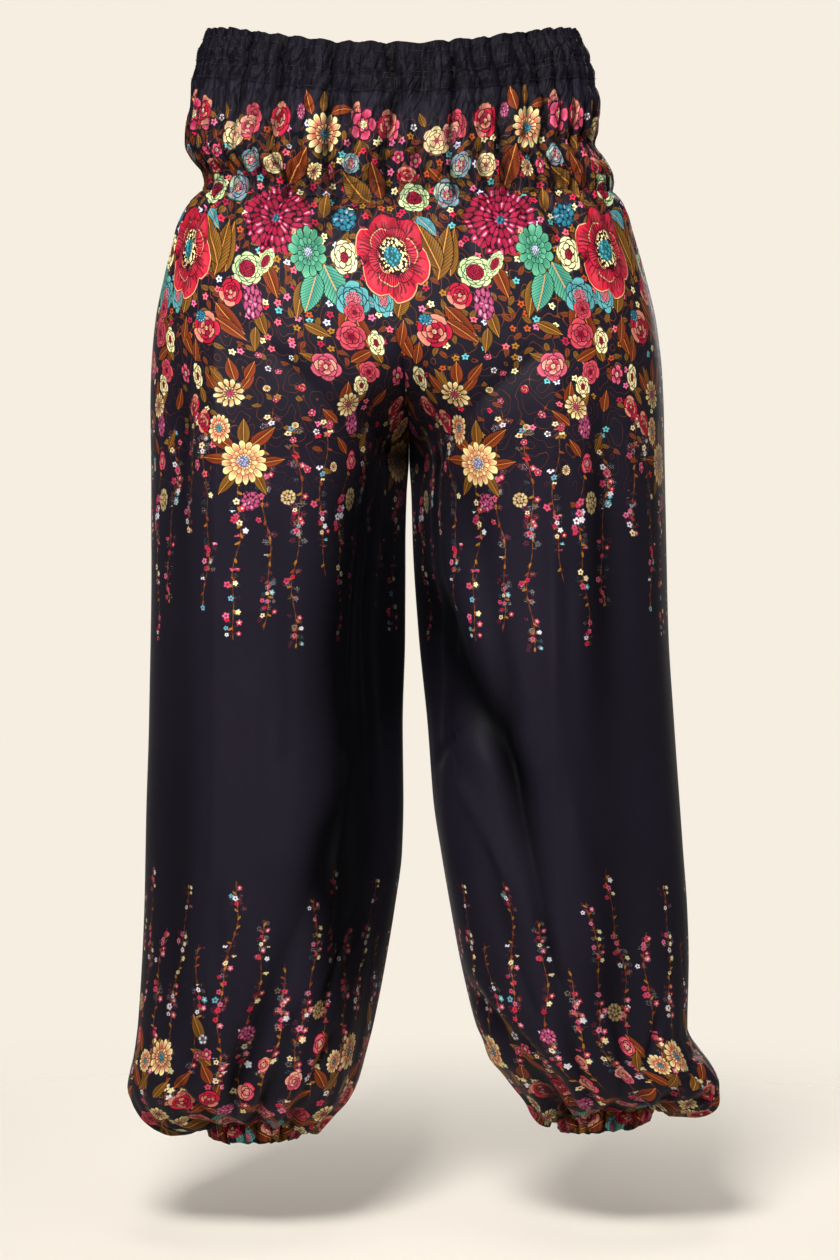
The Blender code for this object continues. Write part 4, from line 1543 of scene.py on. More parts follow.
def colour(code: str) -> tuple[float, float, float, float]:
    """A colour written as six hexadecimal digits, in linear light."""
    parts = [int(code[i:i + 2], 16) / 255.0 for i in (1, 3, 5)]
    return (*(p / 12.92 if p <= 0.04045 else ((p + 0.055) / 1.055) ** 2.4 for p in parts), 1.0)


class Wire:
    """The output of a node, with arithmetic."""

    def __init__(self, board: Board, socket: bpy.types.NodeSocket) -> None:
        """Wrap a socket of a board."""
        self.board = board
        self.socket = socket

    def math(self, operation: str, *others: Wire | float) -> Wire:
        """One Math node on this wire and others."""
        return self.board.node("ShaderNodeMath", [self, *others], operation=operation)

    def __add__(self, other: Wire | float) -> Wire:
        """Sum."""
        return self.math("ADD", other)

    __radd__ = __add__

    def __sub__(self, other: Wire | float) -> Wire:
        """Difference."""
        return self.math("SUBTRACT", other)

    def __rsub__(self, other: float) -> Wire:
        """Difference, reflected."""
        return self.board.node("ShaderNodeMath", [other, self], operation="SUBTRACT")

    def __mul__(self, other: Wire | float) -> Wire:
        """Product."""
        return self.math("MULTIPLY", other)

    __rmul__ = __mul__

    def __truediv__(self, other: Wire | float) -> Wire:
        """Quotient."""
        return self.math("DIVIDE", other)

    def __pow__(self, other: float) -> Wire:
        """Power."""
        return self.math("POWER", other)

    def __lt__(self, other: Wire | float) -> Wire:
        """1 where this is less."""
        return self.math("LESS_THAN", other)

    def __gt__(self, other: Wire | float) -> Wire:
        """1 where this is greater."""
        return self.math("GREATER_THAN", other)

    def abs(self) -> Wire:
        """Size without sign."""
        return self.math("ABSOLUTE")

    def fract(self) -> Wire:
        """The part after the point."""
        return self.math("FRACT")

    def floor(self) -> Wire:
        """The whole part."""
        return self.math("FLOOR")

    def sin(self) -> Wire:
        """Sine."""
        return self.math("SINE")

    def root(self) -> Wire:
        """Square root."""
        return self.math("SQRT")

    def max(self, other: Wire | float) -> Wire:
        """The greater."""
        return self.math("MAXIMUM", other)

    def min(self, other: Wire | float) -> Wire:
        """The lesser."""
        return self.math("MINIMUM", other)

    def hashed(self, scale: float = 12.9898) -> Wire:
        """An uneven value from 0 to 1 for each whole number."""
        return ((self * scale).sin() * 4375.85).fract()

    def eased(self, low: float, high: float) -> Wire:
        """A smooth step from 0 at low to 1 at high."""
        return self.board.node("ShaderNodeMapRange", {"Value": self, "From Min": low, "From Max": high},
                               interpolation_type="SMOOTHSTEP")


class Board:
    """A node tree under construction: every node comes from one method."""

    def __init__(self, tree: bpy.types.NodeTree) -> None:
        """Start on a tree."""
        self.tree = tree

    def node(self, kind: str, values: dict | Sequence = (), output: int | str = 0,
             **settings: object) -> Wire:
        """Add a node.

        Args:
            kind: Type of the node.
            values: What goes into its sockets, in order or by name: wires, numbers or colours.
            output: Which output to take.
            **settings: Its own settings.

        Returns:
            The output.
        """
        made = self.tree.nodes.new(kind)
        for name, value in settings.items():
            setattr(made, name, value)
        pairs = values.items() if isinstance(values, dict) else enumerate(values)
        for key, value in pairs:
            socket = made.inputs[key]
            if isinstance(value, Wire):
                self.tree.links.new(value.socket, socket)
            else:
                socket.default_value = value
        return Wire(self, made.outputs[output])

    def noise(self, vector: Wire, scale: float, detail: float, distortion: float = 0.0) -> Wire:
        """Smooth noise from 0 to 1."""
        return self.node("ShaderNodeTexNoise", {"Vector": vector, "Scale": scale, "Detail": detail,
                                                "Distortion": distortion})

    def attribute(self, name: str, output: str = "Vector") -> Wire:
        """What a piece's attribute holds."""
        return self.node("ShaderNodeAttribute", output=output, attribute_name=name)

    def pick(self, place: Wire, codes: Sequence[str]) -> Wire:
        """One of several colours, for a place from 0 to 1 among them."""
        return self.ramp((place * float(len(codes))).floor(), [colour(code) for code in codes])

    def mix(self, low: Wire | tuple, high: Wire | tuple, share: Wire | float) -> Wire:
        """A colour between two."""
        return self.node("ShaderNodeMix", {0: share, 6: low, 7: high}, output=2, data_type="RGBA")

    def scale(self, shade: Wire | tuple, strength: Wire) -> Wire:
        """A colour made darker or lighter."""
        return self.node("ShaderNodeVectorMath", {0: shade, "Scale": strength}, operation="SCALE")

    def ramp(self, place: Wire, stops: Sequence[tuple], output: int = 0) -> Wire:
        """A step of colour for each kind.

        Args:
            place: Which step, in whole numbers from 0.
            stops: A colour for each step.
            output: 0 for the colour, 1 for the fourth value.

        Returns:
            The colour or the value.
        """
        found = self.node("ShaderNodeValToRGB", [(place + 0.5) / float(len(stops))], output=output)
        band = found.socket.node.color_ramp
        band.interpolation = "CONSTANT"
        for number, stop in enumerate(stops):
            element = band.elements[number] if number < 2 else band.elements.new(number / len(stops))
            element.position = number / len(stops)
            element.color = stop
        return found

    def split(self, vector: Wire) -> tuple[Wire, Wire, Wire]:
        """The three parts of a vector or a colour.

        Args:
            vector: The vector.

        Returns:
            The parts.
        """
        first = self.node("ShaderNodeSeparateXYZ", [vector])
        outputs = first.socket.node.outputs
        return first, Wire(self, outputs[1]), Wire(self, outputs[2])

    def join(self, x: Wire | float, y: Wire | float, z: Wire | float) -> Wire:
        """A vector from three parts."""
        return self.node("ShaderNodeCombineXYZ", [x, y, z])


def group_of(name: str, draw: Callable[[Board, Wire], tuple[Wire, Wire]]) -> bpy.types.NodeTree:
    """A node group that draws one kind of motif from its own coordinates.

    Args:
        name: Name of the group.
        draw: Takes the board and the motif's place, and gives its colour and where it covers.

    Returns:
        The group.
    """
    tree = bpy.data.node_groups.new(name, "ShaderNodeTree")
    tree.interface.new_socket("Place", in_out="INPUT", socket_type="NodeSocketVector")
    tree.interface.new_socket("Colour", in_out="OUTPUT", socket_type="NodeSocketColor")
    tree.interface.new_socket("Cover", in_out="OUTPUT", socket_type="NodeSocketFloat")
    board = Board(tree)
    shade, cover = draw(board, board.node("NodeGroupInput"))
    end = tree.nodes.new("NodeGroupOutput")
    tree.links.new(shade.socket, end.inputs[0])
    tree.links.new(cover.socket, end.inputs[1])
    return tree


def ink_width(kind: Bloom) -> float:
    """Width of the ink line round the petals of a kind, as a share of its usual half width."""
    sizes = [motif.wide for motif in FLOWERS if motif.kind is kind]
    return 0.62 / (sum(sizes) / len(sizes))


class Flower:
    """A flower: rings of petals with ink lines round a core, or a head of tiny florets."""

    RINGS = 3
    MOST_PETALS = 20.0        # a ramp's numbers end at 1, so it holds petals as a share of this

    def __init__(self, b: Board, place: Wire) -> None:
        """Look up the kind.

        Args:
            b: The board.
            place: Across and up from the centre, 1 at its edge, and its kind with a seed as a fraction.
        """
        self.b = b
        self.u, self.v, self.style = b.split(place)
        kind, self.seed = self.style.floor(), self.style.fract()
        kinds = [BLOOMS[k] for k in Bloom]
        self.outer, self.inner, self.core = (b.ramp(kind, [colour(getattr(k, part)) for k in kinds])
                                             for part in ("outer", "inner", "core"))
        form = b.ramp(kind, [(k.petals / self.MOST_PETALS, k.dent, k.step, k.core_size) for k in kinds])
        petals, self.dent, self.step = b.split(form)
        self.core_size = Wire(b, form.socket.node.outputs[1])
        touch = b.ramp(kind, [(k.cluster, k.streaks, ink_width(motif), 1.0)
                              for motif, k in zip(Bloom, kinds)])
        self.cluster, self.streaks, self.line = b.split(touch)
        self.petals = petals * self.MOST_PETALS
        self.radius = (self.u * self.u + self.v * self.v).root()
        self.angle = self.v.math("ARCTAN2", self.u) / tau
        self.ruffle = b.noise(b.join(self.u * 2.2, self.v * 2.2, self.style * 3.0), 1.6, 1.0) - 0.5
        self.mottled = (self.streaks < 0.65) * (self.core_size < 0.19)
        self.bold = self.streaks > 0.95

    def draw(self) -> tuple[Wire, Wire]:
        """The whole flower.

        Returns:
            Its colour and where it covers.
        """
        b, radius = self.b, self.radius
        reach = self.step * 0.0 + 0.94
        shade, cover = self.ring(0, reach)
        for number in range(1, self.RINGS):
            reach = reach * (1.0 - self.step)
            petal, inside = self.ring(number, reach)
            shade = b.mix(shade, petal, inside)
            cover = cover.max(inside)
        burst = self.angle * 58.0 + self.ruffle * 2.0
        rays = ((burst.fract() - 0.5).abs() < 0.22) * (radius < 0.42 + 0.52 * burst.floor().hashed(7.31))
        shade = b.mix(shade, colour("#4a0a1a"), rays * self.bold * (1.35 - radius).min(0.85))
        shade = b.mix(shade, self.florets(), (self.cluster > 0.5) * (radius > self.core_size))
        dots = b.node("ShaderNodeTexVoronoi", {"Vector": b.join(self.u, self.v, self.style), "Scale": 16.0},
                      output="Distance")
        stamen = b.mix(colour("#2a0a14"), colour("#efdc9a"), dots < 0.46)
        reach = self.core_size * (1.5 + 0.9 * self.ruffle + 0.5 * dots)
        shade = b.mix(shade, stamen, (radius > self.core_size) * (radius < reach) * self.bold)
        middle = b.mix(self.core, colour(INK), (dots > 0.42) * 0.75)
        return b.mix(shade, middle, radius < self.core_size), cover

    def ring(self, number: int, reach: Wire) -> tuple[Wire, Wire]:
        """One ring of petals, with ink between them, at their edge and as fine hatching.

        Args:
            number: Which ring, from 0 for the outermost.
            reach: How far out it goes.

        Returns:
            Its colour and where it covers.
        """
        b, radius, line = self.b, self.radius, self.line
        spot = self.angle * self.petals + self.seed * 7.0 + 0.5 * number + self.ruffle * 0.5
        f = (spot.fract() - 0.5).abs()
        vary = (spot.floor() + self.style * 1.7 + 3.1 * number).hashed()
        edge = reach * (1.0 - self.dent * (f * 2.0) ** 2.4) * (0.93 + 0.10 * vary) + self.ruffle * 0.07
        inside = radius < edge
        t = radius / edge
        petal = b.mix(self.inner, self.outer, (t + (vary - 0.5) * 0.2).eased(0.45, 0.95))
        hatch = spot * 7.0
        reached = 0.62 + 0.34 * (hatch.floor() + number).hashed(7.31)
        strokes = ((hatch.fract() - 0.5).abs() < 0.16) * (t < reached)
        side = (0.5 - f) * radius * tau / self.petals
        ink = (side < line * 0.55).max(((edge - radius) < line) * inside).max(strokes * self.streaks * 0.72)
        silky = (1.0 - f * 2.6).max(0.0) * t.eased(0.40, 0.72) * (1.0 - t.eased(0.80, 1.0)) * self.bold
        petal = b.mix(b.scale(petal, 0.80 + 0.26 * vary), colour("#e2505c"), silky * 0.40)
        petal = b.mix(petal, self.core, self.mottled * (vary > 0.64) * t.eased(0.30, 0.85) * 0.38)
        rim = ((edge - radius) < line * 2.4) * self.bold * (vary > 0.60)
        petal = b.mix(petal, colour("#e4b67e"), rim * 0.7)
        return b.mix(petal, colour(INK), ink * 0.93), inside

    def florets(self) -> Wire:
        """The colour of a head of tiny florets, round after round of them."""
        b, cluster, ruffle, style = self.b, self.cluster, self.ruffle, self.style
        swirl = self.radius * (cluster * 6.0 - 1.7) + ruffle * (cluster * 2.4 - 0.9)
        round_no = swirl.floor()
        small = cluster < 0.9
        each = 9.0 - 4.0 * small + (8.0 - 3.0 * small) * round_no
        lobe = self.angle * each + (round_no + style).hashed(5.31) + ruffle * 0.8
        tone = (lobe.floor() + round_no * 9.0 + style).hashed()
        f, g = lobe.fract() - 0.5, swirl.fract() - 0.42
        bulge = (f * f * 3.7 + g * g * 2.9).root()
        floret = b.scale(b.mix(self.inner, self.outer, tone), 0.62 + 0.55 * (1.0 - bulge))
        curl = (bulge * 13.0 + tone * 5.0).sin().eased(0.35, 0.9) * (tone > 0.3)
        floret = b.mix(floret, colour(INK), curl * 0.5)
        sheen = (f.abs() < 0.13) * (g.abs() < 0.22) * (tone > 0.66)
        floret = b.mix(floret, colour("#dfa9c4"), sheen * 0.75)
        return b.mix(floret, colour(INK), bulge.eased(0.80, 0.95) * 0.92)


def draw_bloom(b: Board, place: Wire) -> tuple[Wire, Wire]:
    """A flower's colour and where it covers; see Flower."""
    return Flower(b, place).draw()


def draw_leaf(b: Board, place: Wire) -> tuple[Wire, Wire]:
    """A leaf with a midrib and slanting ink veins.

    Args:
        b: The board.
        place: Across, along to the tip, 1 at its edges, and its kind with a seed as a fraction.

    Returns:
        Its colour and where it covers.
    """
    v, u, style = b.split(place)
    kind, seed = style.floor(), style.fract()
    light = b.ramp(kind, [colour(LEAF_COLOURS[k][0]) for k in Leaf])
    dark = b.ramp(kind, [colour(LEAF_COLOURS[k][1]) for k in Leaf])
    bent = v + 0.22 * (u * u - 0.5) * (seed - 0.5)
    side = bent.abs()
    belly = (1.0 - u * u).max(0.0) ** 0.72 * (1.0 - 0.28 * u)
    teeth = ((u * 6.5).fract() - 0.5) * 0.09
    width = belly * 0.93 + teeth * belly
    inside = side < width
    vein = (((u - side * 0.55) * 6.5 + seed * 5.0).fract() - 0.5).abs() < 0.10
    edge = (width - side) < 0.10
    rib = side < 0.045
    shade = b.mix(dark, light, (side / width.max(0.05)).eased(0.0, 0.9) * 0.7 + 0.3 * (bent > 0.0))
    shade = b.mix(shade, colour(INK), (vein * 0.8).max(edge * 0.95))
    shade = b.mix(shade, colour("#e59a4c"), rib * 0.65)
    return shade, inside


def draw_vine(b: Board, place: Wire) -> tuple[Wire, Wire]:
    """A thin stem with small blossoms and leaflets.

    Args:
        b: The board.
        place: Along the stem and across it in millimetres, and its length with a seed as a fraction.

    Returns:
        Its colour and where it covers.
    """
    down, across, style = b.split(place)
    length, seed = style.floor(), style.fract()
    stem_x = 3.2 * (down / 23.0 + seed * 9.0).sin() + 1.5 * (down / 9.3 + seed * 4.0).sin()
    off = across - stem_x
    stem = (off.abs() < 0.26) * (down > 0.0) * (down < length)
    shade = b.mix(colour("#5a2815"), colour("#7a4718"), (down / 9.0).fract() > 0.5)
    bunched = (down / 8.0 + seed * 31.0).sin() + (down / 15.0 + seed * 17.0).sin()
    cover = stem
    shrink = 1.12 - (down / 420.0).min(0.42)
    for number, (pitch, reach, size, spare) in enumerate(VINE_PARTS):
        spot = down / pitch + seed * (3.0 + number)
        cell = spot.floor() + 17.0 * number + seed * 5.0
        h1, h2, h3 = cell.hashed(), cell.hashed(7.77), cell.hashed(3.13)
        dy = (spot.fract() - 0.5 - (h2 - 0.5) * 0.3) * pitch
        dx = off - (h1 - 0.5) * 2.0 * reach
        far = (dx * dx + dy * dy).root()
        turn = dy.math("ARCTAN2", dx)
        middle = down - dy
        shown = (h3 + bunched * (0.36 if number else 0.05) > spare) * (middle > 1.0) * (middle < length)
        if number == 0:
            slant = (h1 - 0.5) * 2.6
            along = dy * slant.math("COSINE") + dx * slant.sin()
            aside = dx * slant.math("COSINE") - dy * slant.sin()
            inside = (along * along / 6.2 + aside * aside / 0.9 < shrink) * shown
            petal = b.mix(colour("#a8701f"), colour("#8a401b"), h2 > 0.55)
            petal = b.mix(petal, colour(INK), (aside.abs() < 0.16) * 0.6)
        else:
            lobe = (turn * 2.5 + h1 * 6.0).sin().abs()
            radius = size * shrink * (0.74 + 0.4 * h3) * (0.64 + 0.42 * lobe)
            inside = (far < radius) * shown
            petal = b.pick(h2, VINE_COLOURS)
            petal = b.mix(petal, colour(INK), (far > radius * 0.86).max(lobe < 0.22) * 0.6)
            eye = b.mix(colour("#8c1c34"), colour("#e8d79c"), h1 > 0.62)
            petal = b.mix(petal, eye, far < radius * 0.36)
        shade = b.mix(shade, petal, inside)
        cover = cover.max(inside)
    return shade, cover


def draw_filler(b: Board, place: Wire) -> tuple[Wire, Wire]:
    """Small leaves and petals that fill the gaps between the large flowers.

    Args:
        b: The board.
        place: Across and down the cloth in millimetres.

    Returns:
        Their colour and where they cover.
    """
    x, y, _ = b.split(place)
    found = b.node("ShaderNodeTexVoronoi", {"Vector": b.join(x, y, 0.0), "Scale": 0.115, "Randomness": 0.9},
                   output="Position", voronoi_dimensions="2D")
    px, py, _ = b.split(found)
    h1, h2, h3 = b.split(Wire(b, found.socket.node.outputs["Color"]))
    dense = px * 0.0
    for start, end, change in FILLING:
        dense = dense + py.eased(start, end) * change
    dx, dy = x - px, y - py
    lean = h1 * tau
    along = dx * lean.math("COSINE") + dy * lean.sin()
    aside = dy * lean.math("COSINE") - dx * lean.sin()
    far = (dx * dx + dy * dy).root()
    turn = dy.math("ARCTAN2", dx)
    belly = 2.3 * (1.0 - along * along / 29.0).max(0.0) * (1.0 - along * 0.07)
    leaf = (aside + along * along * 0.05 * (h2 - 0.5)).abs() < belly
    vein = ((((along - aside.abs() * 0.7) / 1.5).fract() - 0.5).abs() < 0.14).max(aside.abs() < 0.22)
    bloom = far < 3.3 * (0.84 + 0.2 * (turn * 5.0 + h2 * 6.0).sin())
    leafy = h3 < 0.55
    petal = b.mix(b.pick(h2, SPRIG_COLOURS), colour(INK), (far < 1.1) * 0.8)
    green = b.mix(colour("#793a1c"), colour("#7a531e"), h2 > 0.5)
    shade = b.mix(petal, b.mix(green, colour(INK), vein * 0.75), leafy)
    inside = (leaf * leafy).max(bloom * (1.0 - leafy)) * (h1 < dense)
    curls = b.noise(b.join(x, y * 0.62, 0.0), 0.062, 0.5)
    stem = ((curls * 7.0).fract() - 0.5).abs() < 0.034 * dense.max(0.0).root() * 1.2
    shade = b.mix(colour("#6e3416"), shade, inside)
    return shade, inside.max(stem * (dense > 0.02))


@dataclass(frozen=True)
class Repeat:
    """How the print's repeat lies on the worn cloth: gathers draw it narrower near the waist."""

    period: Track = field(default_factory=lambda: Track.through(
        (-20.0, 55.0, 80.0, 150.0, 300.0, 1040.0), (173.0, 175.0, 180.0, 191.0, 197.0, 197.0)))
    front_shift: float = 0.37
    side_reach: float = 97.0      # from the seams' plane to the middle of a leg's panel
    grain_from: float = 400.0     # length from which that middle follows the grain
    narrow_from: float = 860.0    # length from which the ankle's gathers draw the cloth in
    level_until: float = 225.0    # length above which the print meets at the centre seam
    level_fade: float = 120.0

    def width(self, lengths: Array) -> Array:
        """Width of one repeat, in millimetres of cloth."""
        return self.period.at(lengths)[..., 0]

    def on_strip(self, patch: Patch, face: Face) -> Array:
        """The place in the repeat of each point of a strip round the trunk.

        Args:
            patch: The points.
            face: The half that they are on.

        Returns:
            Places, one unit for each repeat.
        """
        run = run_along(patch.points)
        middle = np.stack([np.interp(0.5, u, line) for u, line in zip(patch.u, run)])
        place = (run - middle[:, None]) / self.width(patch.length)
        return place + (self.front_shift if face is Face.FRONT else 0.0)

    def on_leg(self, patch: Patch, face: Face, side: Side) -> tuple[Array, Array]:
        """The place in the repeat of each point of a leg panel.

        Args:
            patch: The points.
            face: The half that they are on.
            side: The side.

        Returns:
            Places, one unit for each repeat, and the width of the repeat at each.
        """
        run = run_along(patch.points)
        lengths = patch.length[:, 0]
        full = np.interp(self.narrow_from, lengths, run[:, -1])
        drawn_in = np.where(lengths > self.narrow_from, run[:, -1] / full, 1.0)
        width = self.width(patch.length) * drawn_in[:, None]
        centre = np.interp(patch.drop[:, 0], [s.drop for s in SEAT], [s.centre for s in SEAT])
        wanted = np.abs(centre + side.value * self.side_reach) * np.ones(len(lengths))
        reach = patch.points[..., 0] * side.value
        rise = np.maximum.accumulate(reach, axis=1) + np.arange(reach.shape[1]) * 1e-6
        share = np.array([np.interp(w, line, s) for w, line, s in zip(wanted, rise, patch.share)])
        kept = np.interp(self.grain_from, lengths, share)
        share = np.where(lengths > self.grain_from, kept, share)
        middle = np.array([np.interp(s, row, line) for s, row, line in zip(share, patch.share, run)])
        near_waist = 1.0 - eased((lengths - self.level_until) / self.level_fade)
        middle = middle * (1.0 - near_waist) + near_waist * width[:, 0] / 2
        place = side.value * (0.5 + (run - middle[:, None]) / width)
        return place + (self.front_shift if face is Face.FRONT else 0.0), width


FILLING = (
    # from, to (millimetres down the cloth), and how much denser the filling is after it
    (46.0, 78.0, 0.96),
    (180.0, 320.0, -0.78),
    (340.0, 430.0, -0.18),
    (925.0, 1030.0, 0.10),
)


def store(mesh: bpy.types.Mesh, name: str, domain: str, values: Array) -> None:
    """Keep a vector for each point or each corner of a mesh, under a name."""
    made = mesh.attributes.new(name, "FLOAT_VECTOR", domain)
    made.data.foreach_set("vector", values.astype(np.float32).ravel())


class Print:
    """The printed cloth: its materials, and each motif's own coordinates on the faces it covers."""

    LAYERS = {"vine": 3, "leaf": 3, "bloom": 4}
    LIGHT = {"vine": 1, "leaf": 1, "bloom": 2}     # where little overlaps, which is quicker to work out
    VINE_REACH = 15.0
    VINE_SLACK = 4.0          # how far a blossom reaches past its vine's end
    ONE_FACE = 40.0           # a face wider than this lies where the repeat starts anew
    RISES_FROM = 600.0        # a vine whose top is below this grows up from the hem
    FACE_REACH = 2.8          # how far past a motif's edge a face of the grid may stand
    NEAR = 7.0                # the same, for a first coarse choice of rows
    FILLER_REACH = 8.0        # how far a filling leaf or petal reaches from its own spot
    MODULE = 197.0            # width of one repeat laid flat
    SOLID = 0.52              # share of a flower's radius that hides all below it
    GOLDEN = 0.618            # spreads the seeds of motifs that follow each other

    def __init__(self) -> None:
        """Make the materials."""
        self.repeat = Repeat()
        groups = {"leaf": group_of("leaf", draw_leaf), "bloom": group_of("flower", draw_bloom),
                  "vine": group_of("vine", draw_vine), "filler": group_of("filler", draw_filler)}
        bare = {"vine": 3, "leaf": 0, "bloom": 0}
        self.full = PrintedCloth("printed_viscose", groups, self.LAYERS).build()
        self.light = PrintedCloth("printed_viscose_light", groups, self.LIGHT).build()
        self.vines = PrintedCloth("printed_viscose_vines", groups, bare).build()
        self.reverse = PrintedCloth("printed_viscose_reverse", groups, self.LAYERS, worn_side=False).build()
        self.navy = NavyCloth("navy_viscose").build()
        # the casing's navy is a darker copy of the same cloth: painted shade for its dense gathers
        self.casing = NavyCloth("navy_casing", ground="#0f0d13", lighter="#16131b").build()
        self.thread = NavyCloth("navy_thread", ground="#221e2b", lighter="#2c2838", roughness=0.42,
                                specular=0.30).build()

    def draw_plain(self, piece: bpy.types.Object, lengths: Array, places: Array) -> None:
        """Dress a piece in plain navy cloth.

        Args:
            piece: A grid of quads.
            lengths: How far down the cloth each vertex is.
            places: Its place in the repeat.
        """
        mesh = piece.data
        mesh.materials.append(self.casing)
        mesh.materials.append(self.casing)
        values = np.stack([places * self.MODULE, lengths, np.zeros_like(lengths)], axis=2)
        store(mesh, "cloth", "POINT", values)

    def draw(self, piece: bpy.types.Object, lengths: Array, places: Array,
             widths: Array) -> None:
        """Dress a piece in printed cloth.

        Args:
            piece: A grid of quads.
            lengths: How far down the cloth each vertex is.
            places: Its place in the repeat.
            widths: Width of the repeat there.
        """
        mesh = piece.data
        for material in (self.navy, self.navy, self.vines, self.reverse, self.light, self.reverse,
                         self.full, self.reverse):
            mesh.materials.append(material)
        corner = np.empty(len(mesh.loops), np.int32)
        mesh.loops.foreach_get("vertex_index", corner)
        down, place, width = (np.broadcast_to(a, lengths.shape).ravel()[corner].reshape(-1, 4)
                              for a in (lengths, places, widths))
        layers = {}
        for kind, count in self.LAYERS.items():
            empty = (0.0, 99.0, 0.5) if kind == "vine" else (9.0, 9.0, 0.5)
            for number in range(count):
                layers[f"{kind}_{number}"] = np.tile(np.array(empty, np.float32), (len(down), 4, 1))
        used = {kind: np.zeros(len(down), int) for kind in self.LAYERS}
        hidden = np.zeros(len(down), bool)
        tables = (("bloom", FLOWERS, self.place_motif), ("leaf", LEAVES, self.place_motif),
                  ("vine", VINES, self.place_vine))
        for kind, shapes, where in tables:
            for number in reversed(range(len(shapes))):
                faces, values = where(shapes[number], number, down, place, width)
                seen = ~hidden[faces]
                faces, values = faces[seen], values[seen]
                for level in range(self.LAYERS[kind]):
                    free = used[kind][faces] == level
                    layers[f"{kind}_{self.LAYERS[kind] - 1 - level}"][faces[free]] = values[free]
                used[kind][faces] += 1
                if kind == "bloom":
                    whole = np.max(values[..., 0] ** 2 + values[..., 1] ** 2, axis=1) < self.SOLID**2
                    hidden[faces[whole]] = True
        layers["cloth"] = np.stack([place * self.MODULE, down, np.zeros_like(down)], axis=2)
        for name, values in layers.items():
            store(mesh, name, "CORNER", values)
        self.choose(mesh, used, down)

    def choose(self, mesh: bpy.types.Mesh, used: dict[str, Array], down: Array) -> None:
        """Give each face the lightest material that holds all that is printed there.

        Args:
            mesh: The mesh.
            used: How many motifs of each kind touch each face.
            down: How far down the cloth each face's corners are.
        """
        over = {kind: int((count > self.LAYERS[kind]).sum()) for kind, count in used.items()}
        fits = np.all([used[kind] <= self.LIGHT[kind] for kind in used], axis=0)
        bare = (used["bloom"] == 0) & (used["leaf"] == 0)
        filled = np.zeros(len(down))
        for start, end, change in FILLING:
            filled += change * (eased((down.min(axis=1) - self.FILLER_REACH - start) / (end - start))
                                + eased((down.max(axis=1) + self.FILLER_REACH - start) / (end - start)))
        blank = bare & (used["vine"] == 0) & (filled < 1e-7)
        chosen = np.where(blank, 0, np.where(bare, 2, np.where(fits, 4, 6)))
        mesh.polygons.foreach_set("material_index", chosen.astype(np.int32))
        log.info("%s: faces by material %s, over %s", mesh.name, np.bincount(chosen)[::2].tolist(), over)

    def place_motif(self, motif: Motif, number: int, down: Array, place: Array,
                    width: Array) -> tuple[Array, Array]:
        """The faces that a motif touches and its own coordinates on them.

        Args:
            motif: The motif.
            number: Its number, for its seed.
            down: How far down the cloth each face's corners are.
            place: Their place in the repeat.
            width: Width of the repeat there.

        Returns:
            The faces' numbers, and a vector for each of their corners.
        """
        lean = radians(motif.lean)
        height = float(np.hypot(motif.wide * sin(lean), motif.tall * cos(lean)))
        near = np.flatnonzero(np.abs(down[:, 0] - motif.down) < height + self.NEAR)
        turn = (place[near] - motif.across + 0.5) % 1.0 - 0.5
        dx, dy = turn * width[near], motif.down - down[near]
        aside = (dx * cos(lean) - dy * sin(lean)) / motif.wide
        along = (dx * sin(lean) + dy * cos(lean)) / motif.tall
        allowed = 1.0 + self.FACE_REACH / min(motif.wide, motif.tall)
        inside = np.min(aside**2 + along**2, axis=1) < allowed**2
        seed = motif.kind.value + 0.1 + 0.8 * ((number * self.GOLDEN) % 1.0)
        return near[inside], np.stack([aside, along, np.full_like(aside, seed)], axis=2)[inside]

    def place_vine(self, vine: Vine, number: int, down: Array, place: Array,
                   width: Array) -> tuple[Array, Array]:
        """The faces that a vine crosses and its own coordinates on them.

        Args:
            vine: The vine.
            number: Its number, for its seed.
            down: How far down the cloth each face's corners are.
            place: Their place in the repeat.
            width: Width of the repeat there.

        Returns:
            The faces' numbers, and a vector for each of their corners.
        """
        dx = ((place - vine.across + 0.5) % 1.0 - 0.5) * width
        whole = np.abs(dx).max(axis=1) < self.ONE_FACE
        inside = (whole & (np.abs(dx).min(axis=1) < self.VINE_REACH)
                  & (down.max(axis=1) > vine.top - self.VINE_SLACK)
                  & (down.min(axis=1) < vine.bottom + self.VINE_SLACK))
        seed = vine.bottom - vine.top + 0.05 + 0.9 * ((number * 0.377) % 1.0)
        along = down - vine.top if vine.top < self.RISES_FROM else vine.bottom - down
        return np.flatnonzero(inside), np.stack([along, dx, np.full_like(dx, seed)], axis=2)[inside]


